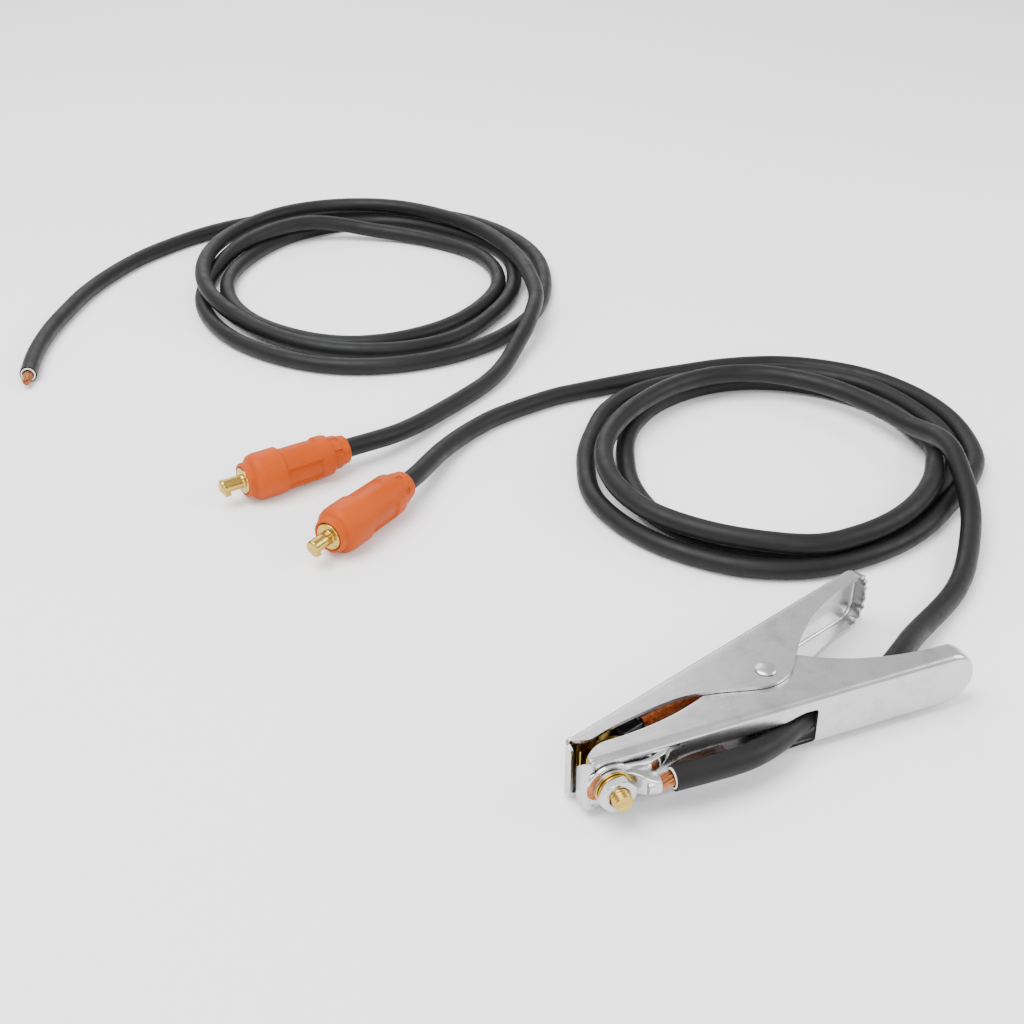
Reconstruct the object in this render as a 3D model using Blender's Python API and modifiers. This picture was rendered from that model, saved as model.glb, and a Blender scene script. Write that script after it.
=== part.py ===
"""Welding lead set: a sprung earth clamp on its cable and an electrode lead, each with a bayonet cable plug.

The clamp lies on its side on the floor with its pivot upright. Lengths are millimetres in the constants
and metres in the scene. Design coordinates: +X runs along the cable lever's web from its nose, +Y goes
from the cable lever to the jaw lever, +Z is up. An empty moves all of it to the part's own origin.
"""

import math

import bmesh
import bpy
from mathutils import Matrix, Vector

MM = 0.001
GAP = 0.3
ORIGIN = (97.85, 33.26)

SHEET = 1.5
MIDDLE_Z = 17.15
CABLE_LEVER_WIDTH = 27.5
JAW_LEVER_WIDTH = 31.1
CABLE_LEVER_LENGTH = 199.0
JAW_LEVER_LENGTH = 200.0
JAW_NOSE = (-3.3, 16.7)
JAW_ANGLE = math.radians(18.7)
JAW_END_CORNER = 10.0
OUTER_BEND = 3.0
PIVOT = (99.8, 24.3)
RIVET_RADIUS = 3.0
RIVET_HEAD_RADIUS = 5.0
RIVET_HOLE_RADIUS = 3.3
SLEEVE_RADIUS = 4.6
SPRING_WIRE = 2.4
SPRING_RADIUS = 7.1
SPRING_TURNS = 5

BOLT = (11.0, MIDDLE_Z)
BOLT_RADIUS = 4.3
BOLT_HOLE_RADIUS = 4.7
NUT_RADIUS = 8.8
NUT_HEIGHT = 4.0
CLIP_THICKNESS = 1.2
LUG_SHEET = 1.2
WASHER_SHEET = 0.8
SPRING_WASHER_SHEET = 1.2
BOLT_PAST_WASHER = 8.4
CONTACT_SHEET = 1.2
CONTACT_HALF_WIDTH = 10.0

CABLE_RADIUS = 5.7
CONDUCTOR_RADIUS = 3.4
LUG_CABLE_Y = -8.0
LUG_BARREL = (19.8, 30.8)
JACKET_END_X = 36.6

PLUG_AXIS_Z = 13.75
PLUG_LENGTH = 80.6
CABLE_IN_PLUG = (63.0, 69.0, 75.0, 84.0)
SET_SCREW_ALONG = 48.0
SET_SCREW_RADIUS = 2.7
PLUGS = {
    "electrode": {"tip": (-85.0, 306.5), "turn": math.radians(11.4)},
    "earth": {"tip": (-54.6, 225.8), "turn": math.radians(33.2)},
}

COILS = {
    "electrode": {"centre": (87.0, 579.2), "inner": 99.0, "outer": 147.0, "height": 22.8},
    "earth": {"centre": (223.9, 227.3), "inner": 92.0, "outer": 133.0, "height": 22.8},
}

ELECTRODE_FEED = [
    (11, 326.4, 13.1), (23, 330.9, 11.6), (33, 337.4, 9.9), (45, 345.0, 8.3), (57, 352.8, 7.0), (69, 360.2, 6.2),
    (81, 367.2, 5.8), (94, 374.8, 5.8), (107, 383.5, 5.8), (120, 394, 6.2), (131, 405, 7.2), (141, 416.5, 8.8),
    (150, 427, 10.8), (160, 438.5, 13.4),
]
ELECTRODE_TAIL = [
    (-168, 514, 5.8), (-160, 544, 5.8), (-147, 577, 5.8), (-131, 607, 5.8), (-112, 638, 5.8),
    (-90, 665, 5.8), (-62, 691.5, 5.8), (-35, 709, 5.8), (-8, 722.5, 5.8), (20, 731, 5.8),
    (50, 734.5, 5.8), (78, 733, 5.8),
]
EARTH_FEED = [
    (26, 280.0, 12.9), (37, 291.6, 11.0), (46, 305.0, 9.1), (56, 314.6, 7.6), (66, 322.6, 6.6), (78, 330.2, 6.0),
    (93, 337, 5.8), (110, 342.6, 5.8), (130, 346.6, 5.8), (146, 349.3, 5.8), (161, 350.5, 5.8),
]
EARTH_RUN = [
    (JACKET_END_X, LUG_CABLE_Y, MIDDLE_Z), (49, -8.4, 17.0), (62, -8.6, 16.7), (74, -7.6, 16.2),
    (85, -4.6, 15.4), (95, -0.4, 14.6), (104, 4.2, 14.2), (114, 7.8, 14.2), (125, 10.2, 14.4),
    (136, 12.2, 14.8), (148, 15.0, 15.0), (160, 18.9, 14.8), (171, 24.4, 13.9),
    (182, 31.6, 12.3), (192, 38.9, 10.4), (203, 46.6, 8.4), (216, 53.9, 7.0), (229, 61.4, 6.1),
    (241, 68.9, 5.8), (251, 76.2, 5.9), (259, 83.6, 6.4), (265.5, 91.2, 7.3),
]
FEED_POINTS = 15
TAIL_POINTS = 22
RUN_POINTS = 30

scene = bpy.context.scene


def clear_scene():
    for item in list(bpy.data.objects):
        bpy.data.objects.remove(item, do_unlink=True)


def new_collection(name, hidden=False):
    collection = bpy.data.collections.new(name)
    collection.hide_render = hidden
    scene.collection.children.link(collection)
    return collection


def new_material(name, colour, metallic, roughness):
    material = bpy.data.materials.new(name)
    material.use_nodes = True
    shader = material.node_tree.nodes["Principled BSDF"]
    shader.inputs["Base Color"].default_value = (*colour, 1)
    shader.inputs["Metallic"].default_value = metallic
    shader.inputs["Roughness"].default_value = roughness
    return material


clear_scene()
parts = new_collection("welding_lead_set")
cutters = new_collection("cutters", hidden=True)
materials = {
    "zinc_steel": new_material("zinc_steel", (0.62, 0.62, 0.63), 1.0, 0.38),
    "spring_steel": new_material("spring_steel", (0.22, 0.22, 0.23), 1.0, 0.35),
    "brass": new_material("brass", (0.78, 0.6, 0.28), 1.0, 0.28),
    "copper": new_material("copper", (0.5, 0.22, 0.12), 1.0, 0.4),
    "orange_rubber": new_material("orange_rubber", (0.75, 0.14, 0.03), 0.0, 0.5),
    "cable_rubber": new_material("cable_rubber", (0.015, 0.015, 0.016), 0.0, 0.5),
    "white_liner": new_material("white_liner", (0.8, 0.8, 0.78), 0.0, 0.6),
}

design_frame = bpy.data.objects.new("design_frame", None)
design_frame.location = (-ORIGIN[0] * MM, -ORIGIN[1] * MM, 0)
scene.collection.objects.link(design_frame)
jaw_frame = bpy.data.objects.new("jaw_frame", None)
jaw_frame.location = (PIVOT[0] * MM, PIVOT[1] * MM, 0)
jaw_frame.parent = design_frame
scene.collection.objects.link(jaw_frame)
bpy.context.view_layer.update()


def shade(mesh):
    mesh.shade_smooth()
    mesh.set_sharp_from_angle(angle=math.radians(32))


def add_part(name, mesh, material, moving=False):
    """A mesh in design coordinates becomes a part, held by the fixed frame or by the jaw's pivot."""
    part = bpy.data.objects.new(name, mesh)
    mesh.materials.clear()
    mesh.materials.append(materials[material])
    shade(mesh)
    parts.objects.link(part)
    part.parent = jaw_frame if moving else design_frame
    if moving:
        mesh.transform(Matrix.Translation((-PIVOT[0] * MM, -PIVOT[1] * MM, 0)))
    return part


def add_cutter(name, mesh):
    cutter = bpy.data.objects.new(name, mesh)
    cutters.objects.link(cutter)
    cutter.display_type = "WIRE"
    cutter.hide_render = True
    cutter.parent = design_frame
    return cutter


def join_shape(part, tool, operation):
    modifier = part.modifiers.new(tool.name, "BOOLEAN")
    modifier.operation = operation
    modifier.object = tool
    modifier.solver = "EXACT"


def mesh_of_curve(name, curve):
    """The closed mesh of a curve, its caps welded on."""
    guide = bpy.data.objects.new(name, curve)
    scene.collection.objects.link(guide)
    bpy.context.view_layer.update()
    mesh = bpy.data.meshes.new_from_object(guide.evaluated_get(bpy.context.evaluated_depsgraph_get()))
    bpy.data.objects.remove(guide, do_unlink=True)
    bpy.data.curves.remove(curve)
    shape = bmesh.new()
    shape.from_mesh(mesh)
    bmesh.ops.remove_doubles(shape, verts=shape.verts, dist=0.000005)
    shape.to_mesh(mesh)
    shape.free()
    mesh.name = name
    return mesh


def plate_mesh(name, outline, low, high, plane="XY", holes=()):
    """A flat outline extruded from low to high. In plane XZ it is extruded along Y, in YZ along X."""
    curve = bpy.data.curves.new(name, "CURVE")
    curve.dimensions = "2D"
    curve.fill_mode = "BOTH"
    curve.extrude = (high - low) / 2 * MM
    for loop in (outline, *holes):
        spline = curve.splines.new("POLY")
        spline.points.add(len(loop) - 1)
        for point, (across, up) in zip(spline.points, loop):
            point.co = (across * MM, up * MM, 0, 1)
        spline.use_cyclic_u = True
    mesh = mesh_of_curve(name, curve)
    middle = (low + high) / 2 * MM
    turns = {
        "XY": Matrix.Translation((0, 0, middle)),
        "XZ": Matrix.Translation((0, middle, 0)) @ Matrix.Rotation(math.pi / 2, 4, "X"),
        "YZ": Matrix.Translation((middle, 0, 0)) @ Matrix(((0, 0, 1), (1, 0, 0), (0, 1, 0))).to_4x4(),
    }
    mesh.transform(turns[plane])
    return mesh


def tube_mesh(name, route, radius, sides=2):
    """A round tube with closed ends along the points of a route."""
    curve = bpy.data.curves.new(name, "CURVE")
    curve.dimensions = "3D"
    curve.bevel_depth = radius * MM
    curve.bevel_resolution = sides
    curve.use_fill_caps = True
    spline = curve.splines.new("POLY")
    spline.points.add(len(route) - 1)
    for point, place in zip(spline.points, route):
        point.co = (*(Vector(place) * MM), 1)
    return mesh_of_curve(name, curve)


def smooth_route(points, count):
    """count points, evenly spaced, on a smooth curve through the given points."""
    places = [Vector(point) for point in points]
    places = [places[0] * 2 - places[1], *places, places[-1] * 2 - places[-2]]
    fine = []
    for i in range(1, len(places) - 2):
        before, start, end, after = places[i - 1:i + 3]
        for step in range(20):
            t = step / 20
            bend = (end - before) * t + (before * 2 - start * 5 + end * 4 - after) * t * t
            fine.append(start + (bend + (start * 3 - before - end * 3 + after) * t ** 3) / 2)
    fine.append(places[-2])
    reached = [0.0]
    for start, end in zip(fine, fine[1:]):
        reached.append(reached[-1] + (end - start).length)
    route = []
    place = 0
    for step in range(count):
        wanted = reached[-1] * step / (count - 1)
        while place < len(fine) - 2 and reached[place + 1] < wanted:
            place += 1
        share = (wanted - reached[place]) / (reached[place + 1] - reached[place])
        route.append(fine[place].lerp(fine[place + 1], share))
    return route


def smooth_outline(points, count):
    return [(place.x, place.y) for place in smooth_route([(x, y, 0) for x, y in points], count)]


def arc(centre, radius, start, end, steps):
    """Points on an arc, its angles in degrees."""
    angles = [math.radians(start + (end - start) * step / steps) for step in range(steps + 1)]
    return [(centre[0] + radius * math.cos(a), centre[1] + radius * math.sin(a)) for a in angles]


def circle(centre, radius, steps=24):
    return arc(centre, radius, 0, 360, steps)[:-1]


def strip_outline(path, thickness):
    """The outline of a bent strip of sheet, seen on its edge."""
    places = [Vector(point) for point in path]
    left = []
    right = []
    for i, place in enumerate(places):
        along = (places[min(i + 1, len(places) - 1)] - places[max(i - 1, 0)]).normalized()
        across = Vector((-along.y, along.x)) * thickness / 2
        left.append(tuple(place + across))
        right.append(tuple(place - across))
    return left + right[::-1]


def turned_part(name, profile, place, turn, material, steps=28):
    """A turned piece. Its profile lists (distance along the axis, radius), from the far end to the near end."""
    mesh = bpy.data.meshes.new(name)
    points = [(radius * MM, 0, along * MM) for along, radius in profile]
    edges = [(i, i + 1) for i in range(len(points) - 1)]
    if profile[0][1] > 0:
        edges.append((len(points) - 1, 0))
    mesh.from_pydata(points, edges, [])
    part = bpy.data.objects.new(name, mesh)
    mesh.materials.append(materials[material])
    parts.objects.link(part)
    screw = part.modifiers.new("turn", "SCREW")
    screw.axis = "Z"
    screw.steps = steps
    screw.render_steps = steps
    screw.use_merge_vertices = True
    screw.merge_threshold = 0.00005
    screw.use_smooth_shade = True
    part.parent = design_frame
    part.location = Vector(place) * MM
    part.rotation_euler = turn
    return part


def boat_outline(length, width, corner, inset=0.0, start=0.0):
    """A lever's web seen face on: square at the nose, and round at the handle's end with the given corners."""
    low = MIDDLE_Z - width / 2
    high = MIDDLE_Z + width / 2
    below = arc((length - corner, low + corner), corner - inset, -90, 0, 9)
    above = arc((length - corner, high - corner), corner - inset, 0, 90, 9)
    if high - low - 2 * corner < GAP:
        above = above[1:]
    return [(start, low + inset), *below, *above, (start, high - inset)]


def round_web(mesh, nose_x, offset, segments):
    """Rounds the bend between the web, at y = 0, and the flanges."""
    shape = bmesh.new()
    shape.from_mesh(mesh)
    level = min((vertex.co.y for vertex in shape.verts), key=abs)
    edges = []
    for edge in shape.edges:
        on_web = all(abs(vertex.co.y - level) < 1e-6 for vertex in edge.verts)
        on_rim = len({round(face.normal.y, 2) for face in edge.link_faces}) > 1
        at_nose = all(abs(vertex.co.x - nose_x * MM) < 1e-6 for vertex in edge.verts)
        if on_web and on_rim and not at_nose:
            edges.append(edge)
    bmesh.ops.bevel(shape, geom=edges, offset=offset * MM, segments=segments, affect="EDGES", profile=0.5)
    shape.to_mesh(mesh)
    shape.free()


def pressed_lever(name, length, width, corner, flange_edge, lip, side, placing, moving):
    """A channel of bent sheet whose flanges rise to side * Y, with a lip across its nose."""
    depth = 45 * side
    low, high = sorted((0, depth))
    outer = plate_mesh(name, boat_outline(length, width, corner), low, high, "XZ")
    round_web(outer, 0, OUTER_BEND, 4)
    low, high = sorted((SHEET * side, depth + 20 * side))
    hollow = plate_mesh(name + "_hollow", boat_outline(length, width, corner, SHEET, -10), low, high, "XZ")
    round_web(hollow, -10, OUTER_BEND - SHEET, 3)
    above = [(x, side * y) for x, y in flange_edge]
    above += [(length + 20, above[-1][1]), (length + 20, 60 * side), (-20, 60 * side), (-20, above[0][1])]
    trim = plate_mesh(name + "_trim", above, -10, 50)
    lip_mesh = plate_mesh(name + "_lip", [(side * y, z) for y, z in lip], 0, SHEET, "YZ")
    for mesh in (outer, hollow, trim, lip_mesh):
        mesh.transform(placing)
        recalculate(mesh)
    part = add_part(name, outer, "zinc_steel", moving)
    for mesh, operation in ((hollow, "DIFFERENCE"), (trim, "DIFFERENCE"), (lip_mesh, "UNION")):
        join_shape(part, add_cutter(mesh.name, mesh), operation)
    return part


def recalculate(mesh):
    shape = bmesh.new()
    shape.from_mesh(mesh)
    bmesh.ops.recalc_face_normals(shape, faces=shape.faces)
    shape.to_mesh(mesh)
    shape.free()


def cut_plate(part, name, outline, low, high, plane, placing=Matrix()):
    mesh = plate_mesh(name, outline, low, high, plane)
    mesh.transform(placing)
    recalculate(mesh)
    join_shape(part, add_cutter(name, mesh), "DIFFERENCE")


def make_cable_lever():
    edge = [(-1, 1.0), (0, 1.4), (2.7, 4.7), (5.8, 7.4), *smooth_outline([
        (9.0, 9.3), (12, 10.2), (20.4, 10.5), (30.2, 11.3), (40.7, 12.9), (51.7, 15.5), (64, 19.8),
        (75, 24.8), (84, 29.6), (92, 33.4), (99, 34.9), (106, 34.4), (113, 32.5), (120.2, 29.5),
        (128.5, 24.2), (136.5, 20.1), (145, 16.8), (154.1, 14.2), (164.5, 12.0), (176, 10.6), (183, 10.6),
        (199, 10.6)], 52)]
    lip = [(0.2, 3.6), (0.2, 30.6), (1.5, 29.8), (9.5, 22.0), (9.5, 5.6), (7.3, 3.5)]
    lever = pressed_lever("cable_lever", CABLE_LEVER_LENGTH, CABLE_LEVER_WIDTH, CABLE_LEVER_WIDTH / 2, edge, lip, 1,
                          Matrix(), False)
    window = [(38.0, 7.0), (40.0, 5.5), (112.6, 5.5), (113.6, 6.5), (113.3, 23.2), (112.5, 24.0), (106, 24.2),
              (102, 23.2), (98, 21.7), (91, 21.1), (65, 20.6), (48.3, 19.7), (41.4, 18.2), (38.5, 16.4)]
    cut_plate(lever, "cable_window", window, -3, 4, "XZ")
    slot = [(30.2, 26.4), (31.6, 21.4), (35.9, 23.2), (44.6, 27.0), (44.0, 27.6)]
    cut_plate(lever, "braid_slot", slot, -3, 4, "XZ")
    cut_plate(lever, "bolt_hole", circle(BOLT, BOLT_HOLE_RADIUS), -3, 4, "XZ")
    cut_plate(lever, "cable_lever_pivot_hole", circle(PIVOT, RIVET_HOLE_RADIUS), -5, 45, "XY")


def make_jaw_lever():
    edge = [(-1, 1.0), (0, 1.4), (6, 6.6), *smooth_outline([
        (8.5, 7.8), (14, 8.0), (19.8, 8.1), (25.3, 8.5), (36.2, 9.8), (46.8, 11.5), (57, 13.9), (65.7, 17.6),
        (73.7, 22.1), (81.2, 27.1), (88.8, 32.1), (93.2, 34.1), (98.4, 35.3), (104.4, 35.0), (110, 33.4),
        (115.2, 30.2), (120.6, 27.1), (128.7, 22.2), (137.7, 17.9), (147.1, 14.6), (155.7, 12.5),
        (165.8, 10.6), (176.9, 9.3), (188.6, 9.0), (200, 8.4)], 56)]
    lip = [(0.2, 1.9), (0.2, 32.4), (1.5, 31.9), (5.2, 28.4), (5.2, 5.4), (2.6, 1.8)]
    placing = Matrix.Translation((JAW_NOSE[0] * MM, JAW_NOSE[1] * MM, 0)) @ Matrix.Rotation(JAW_ANGLE, 4, "Z")
    lever = pressed_lever("jaw_lever", JAW_LEVER_LENGTH, JAW_LEVER_WIDTH, JAW_END_CORNER, edge, lip, -1, placing,
                          True)
    cut_plate(lever, "jaw_lever_pivot_hole", circle(PIVOT, RIVET_HOLE_RADIUS), -5, 45, "XY")
    cut_plate(lever, "jaw_rivet_hole", circle((15.5, MIDDLE_Z), 2.3), -4, 4, "XZ", placing)
    return placing


def make_pivot():
    low = MIDDLE_Z - JAW_LEVER_WIDTH / 2
    high = MIDDLE_Z + JAW_LEVER_WIDTH / 2
    head = 1.3
    dome = [(high + GAP + head, 0), (high + GAP + head, 2.2), (high + GAP + 1.0, 3.8), (high + GAP + 0.4, 4.8),
            (high + GAP, RIVET_HEAD_RADIUS)]
    tail = [(low - GAP, RIVET_HEAD_RADIUS), (low - GAP - 0.5, 4.8), (low - GAP - head, 3.6), (low - GAP - head, 0)]
    shank = [(high + GAP, RIVET_RADIUS), (low - GAP, RIVET_RADIUS)]
    turned_part("pivot_rivet", dome + shank + tail, (*PIVOT, 0), (0, 0, 0), "zinc_steel")
    inside = CABLE_LEVER_WIDTH / 2 - SHEET - GAP
    ring = [(MIDDLE_Z + inside, RIVET_HOLE_RADIUS), (MIDDLE_Z + inside, SLEEVE_RADIUS),
            (MIDDLE_Z - inside, SLEEVE_RADIUS), (MIDDLE_Z - inside, RIVET_HOLE_RADIUS)]
    turned_part("pivot_sleeve", ring, (*PIVOT, 0), (0, 0, 0), "spring_steel", 20)


def make_torsion_spring():
    low = 8.0
    high = 26.3
    steps = 12 * SPRING_TURNS - 5
    first = math.radians(-95)
    last = first + math.radians(360 * SPRING_TURNS - 145)
    route = [(133, 4.4, high), (120, 9.0, high)]
    for step in range(steps + 1):
        share = step / steps
        angle = first + (last - first) * share
        z = high + (low - high) * share
        route.append((PIVOT[0] + SPRING_RADIUS * math.cos(angle), PIVOT[1] + SPRING_RADIUS * math.sin(angle), z))
    route += [(117, 50.3, low), (129, 55.8, low)]
    add_part("torsion_spring", tube_mesh("torsion_spring", route, SPRING_WIRE / 2), "spring_steel")


def make_contacts(jaw_placing):
    low = MIDDLE_Z - CONTACT_HALF_WIDTH
    high = MIDDLE_Z + CONTACT_HALF_WIDTH
    arch = smooth_outline([(4.0, 2.6), (3.3, 6.2), (7.2, 10.6), (12.1, 13.9), (16.6, 15.4), (20.5, 15.4),
                           (24.5, 13.0), (27.6, 8.2), (28.6, 2.6)], 22)
    mesh = plate_mesh("cable_side_contact", strip_outline(arch, CONTACT_SHEET), low, high)
    add_part("cable_side_contact", mesh, "brass")
    strip = [(4.4, -6.9), (4.5, -4.6), (5.4, -3.4), (7.2, -2.9), (14, -2.7), (22, -2.7), (26, -2.8)]
    mesh = plate_mesh("jaw_side_contact", strip_outline(strip, CONTACT_SHEET), low, high)
    mesh.transform(jaw_placing)
    contact = add_part("jaw_side_contact", mesh, "brass", True)
    cut_plate(contact, "contact_rivet_hole", circle((15.5, MIDDLE_Z), 2.3), -6, 4, "XZ", jaw_placing)
    rivet = plate_mesh("contact_rivet", circle((15.5, MIDDLE_Z), 2.0, 16), -4.4, 0.9, "XZ")
    rivet.transform(jaw_placing)
    add_part("contact_rivet", rivet, "brass", True)


def make_braid(jaw_placing):
    ferrule = [(27.5, -9.6), (39.0, -9.6), (39.0, -2.0), (27.5, -2.0)]
    mesh = plate_mesh("braid_ferrule", ferrule, 10.0, 25.5)
    mesh.transform(jaw_placing)
    add_part("braid_ferrule", mesh, "spring_steel", True)
    route = smooth_route([(38.2, 23.4, 19.5), (50, 26.0, 20.5), (64, 27.0, 21), (76, 25.0, 21), (83.5, 17.0, 21.5),
                          (76, 9.4, 22), (60, 6.8, 22.5), (44, 6.0, 23), (39, 5.8, 23)], 24)
    add_part("copper_braid", tube_mesh("copper_braid", route, 3.6), "copper")


def make_terminal():
    y = -GAP
    clip = [*arc(BOLT, 10.2, 60, 300, 16), (24, 12.0), (34.5, 20.5), (34.5, 25.6), (24, 26.4)]
    mesh = plate_mesh("braid_clip", clip, y - CLIP_THICKNESS, y, "XZ", [circle(BOLT, BOLT_HOLE_RADIUS)])
    add_part("braid_clip", mesh, "zinc_steel")
    y -= CLIP_THICKNESS + GAP
    ring = [*arc(BOLT, 8.6, 50, 310, 16), (18.0, 10.6), (20.5, 10.6), (20.5, 23.7), (18.0, 23.7)]
    mesh = plate_mesh("lug_ring", ring, y - LUG_SHEET, y, "XZ", [circle(BOLT, BOLT_HOLE_RADIUS)])
    lug = add_part("cable_lug", mesh, "zinc_steel")
    barrel = turned_mesh_tube("lug_barrel", LUG_BARREL[0], LUG_BARREL[1], CONDUCTOR_RADIUS + 1.9,
                              CONDUCTOR_RADIUS + GAP)
    join_shape(lug, add_cutter("lug_barrel", barrel), "UNION")
    y -= LUG_SHEET + GAP
    washer = plate_mesh("flat_washer", circle(BOLT, 8.4), y - WASHER_SHEET, y, "XZ", [circle(BOLT, BOLT_HOLE_RADIUS)])
    add_part("flat_washer", washer, "brass")
    y -= WASHER_SHEET + GAP
    split = [*arc(BOLT, 7.7, 96, 444, 24), *arc(BOLT, BOLT_HOLE_RADIUS, 444, 96, 24)]
    add_part("spring_washer", plate_mesh("spring_washer", split, y - SPRING_WASHER_SHEET, y, "XZ"), "brass")
    y -= SPRING_WASHER_SHEET + GAP
    hexagon = arc(BOLT, NUT_RADIUS, 12, 372, 6)[:-1]
    nut = plate_mesh("terminal_nut", hexagon, y - NUT_HEIGHT, y, "XZ", [circle(BOLT, BOLT_HOLE_RADIUS)])
    add_part("terminal_nut", nut, "zinc_steel")
    bolt = [(5.6, 0), (5.6, 5.8), (5.0, 6.3), (SHEET + GAP, 6.3), (SHEET + GAP, BOLT_RADIUS),
            (y - BOLT_PAST_WASHER + 0.8, BOLT_RADIUS), (y - BOLT_PAST_WASHER, BOLT_RADIUS - 0.8),
            (y - BOLT_PAST_WASHER, 0)]
    turned_part("terminal_bolt", bolt, (BOLT[0], 0, BOLT[1]), (-math.pi / 2, 0, 0), "brass", 24)


def turned_mesh_tube(name, start, end, outer, inner):
    """A short open tube along X on the lug's cable axis, as a closed mesh."""
    rings = [circle((LUG_CABLE_Y, MIDDLE_Z), radius, 20) for radius in (outer, inner)]
    mesh = plate_mesh(name, rings[0], start, end, "YZ", [rings[1]])
    recalculate(mesh)
    return mesh


def make_lug_conductor():
    core = plate_mesh("lug_conductor", circle((LUG_CABLE_Y, MIDDLE_Z), CONDUCTOR_RADIUS, 20), 21.0, 35.6, "YZ")
    add_part("lug_conductor", core, "copper")
    ring = [circle((LUG_CABLE_Y, MIDDLE_Z), radius, 20) for radius in (5.2, CONDUCTOR_RADIUS + GAP)]
    liner = plate_mesh("lug_cable_liner", ring[0], 35.3, JACKET_END_X - GAP, "YZ", [ring[1]])
    add_part("lug_cable_liner", liner, "white_liner")


def make_plug(lead):
    tip = (*PLUGS[lead]["tip"], PLUG_AXIS_Z)
    turn = (0, math.pi / 2, PLUGS[lead]["turn"])
    sleeve = [
        (PLUG_LENGTH, 6.1), (PLUG_LENGTH, 7.4), (79.4, 8.4), (77.4, 8.8), (74.6, 9.0), (74.2, 10.0),
        (68.2, 10.4), (67.4, 12.2), (60.5, 12.5), (37.0, 12.7), (36.4, PLUG_AXIS_Z), (23.2, PLUG_AXIS_Z),
        (20.2, 13.0), (18.6, 11.2), (18.2, 10.3), (14.6, 10.3), (13.9, 9.8), (13.9, 8.1), (27.0, 8.1),
        (27.0, 7.2), (62.5, 7.2), (62.5, 6.1),
    ]
    turned_part(lead + "_plug_sleeve", sleeve, tip, turn, "orange_rubber")
    body = [
        (60.0, 0), (60.0, 6.8), (26.6, 6.8), (26.6, 7.8), (14.1, 7.8), (13.5, 7.3), (13.5, 4.0),
        (0.8, 4.0), (0.0, 3.2), (0.0, 0),
    ]
    make_plug_body(lead, body, tip, turn)
    crimp = [(59.0, 3.7), (59.0, 4.3), (36.4, 4.3), (36.4, 3.7)]
    turned_part(lead + "_crimp_sleeve", crimp, tip, turn, "copper", 20)
    core = [(61.2, 0), (61.2, CONDUCTOR_RADIUS), (36.4, CONDUCTOR_RADIUS), (36.4, 0)]
    turned_part(lead + "_plug_conductor", core, tip, turn, "copper", 20)


def make_plug_body(lead, profile, tip, turn):
    """The brass pin and its body, with the bayonet key under the pin's tip and a set screw above its bore."""
    body = turned_part(lead + "_plug_body", profile, tip, turn, "brass")
    key = plate_mesh(lead + "_plug_key", [(-1.3, 2.0), (1.3, 2.0), (1.3, 6.4), (-1.3, 6.4)], 2.0, 5.6, "YZ")
    bore = plate_mesh(lead + "_plug_bore", circle((0, 0), 4.6, 20), 36, 62)
    place = (0, SET_SCREW_ALONG)
    hole = plate_mesh(lead + "_screw_hole", circle(place, SET_SCREW_RADIUS + GAP, 16), -9, -4, "YZ")
    screw = add_part(lead + "_set_screw", plate_mesh(lead + "_set_screw", circle(place, SET_SCREW_RADIUS, 16),
                                                     -6.7, -4.7, "YZ"), "spring_steel")
    tools = [add_cutter(mesh.name, mesh) for mesh in (bore, hole, key)]
    for piece in (screw, *tools):
        recalculate(piece.data)
        piece.location = Vector(tip) * MM
        piece.rotation_euler = turn
    for tool, operation in zip(tools, ("DIFFERENCE", "DIFFERENCE", "UNION")):
        join_shape(body, tool, operation)


def make_coil(lead):
    coil = COILS[lead]
    low = 0.1
    high = coil["height"]
    corner = 3.0
    ring = [
        (high, coil["inner"] + corner), (high, coil["outer"] - corner), (high - corner, coil["outer"]),
        (low + corner, coil["outer"]), (low, coil["outer"] - corner), (low, coil["inner"] + corner),
        (low + corner, coil["inner"]), (high - corner, coil["inner"]),
    ]
    turned_part(lead + "_cable_coil", ring, (*coil["centre"], 0), (0, 0, 0), "cable_rubber", 48)


def plug_axis_places(lead):
    """Places on a plug's axis, from the end of the jacket inside it to a little behind it."""
    turn = PLUGS[lead]["turn"]
    x, y = PLUGS[lead]["tip"]
    return [(x + along * math.cos(turn), y + along * math.sin(turn), PLUG_AXIS_Z) for along in CABLE_IN_PLUG]


def make_cords():
    for name, points, count in (
        ("electrode_feed_cable", plug_axis_places("electrode") + ELECTRODE_FEED, FEED_POINTS),
        ("electrode_tail_cable", ELECTRODE_TAIL, TAIL_POINTS),
        ("earth_feed_cable", plug_axis_places("earth") + EARTH_FEED, FEED_POINTS),
        ("earth_clamp_cable", EARTH_RUN, RUN_POINTS),
    ):
        route = smooth_route(points, count)
        add_part(name, tube_mesh(name, route, CABLE_RADIUS, 3), "cable_rubber")


def make_bare_end():
    """The stripped end of the electrode lead, past its jacket."""
    end = Vector(ELECTRODE_TAIL[0])
    along = (end - Vector(ELECTRODE_TAIL[1])).normalized()
    turn = along.to_track_quat("Z", "Y").to_euler()
    liner = [(0.9, 3.7), (0.9, 5.1), (GAP, 5.1), (GAP, 3.7)]
    turned_part("electrode_end_liner", liner, end, turn, "white_liner", 20)
    core = [(11.0, 0), (11.0, 2.4), (8.0, 3.2), (GAP, CONDUCTOR_RADIUS), (GAP, 0)]
    turned_part("electrode_bare_conductor", core, end, turn, "copper", 20)


make_cable_lever()
jaw_placing = make_jaw_lever()
make_pivot()
make_torsion_spring()
make_contacts(jaw_placing)
make_braid(jaw_placing)
make_terminal()
make_lug_conductor()
for lead_name in PLUGS:
    make_plug(lead_name)
    make_coil(lead_name)
make_cords()
make_bare_end()
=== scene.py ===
"""Looks for the welding lead set: the sprung earth clamp, its coiled lead and the coiled electrode lead."""

import math
import random

import bmesh
import bpy
import numpy as np
from mathutils import Matrix, Vector


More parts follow.
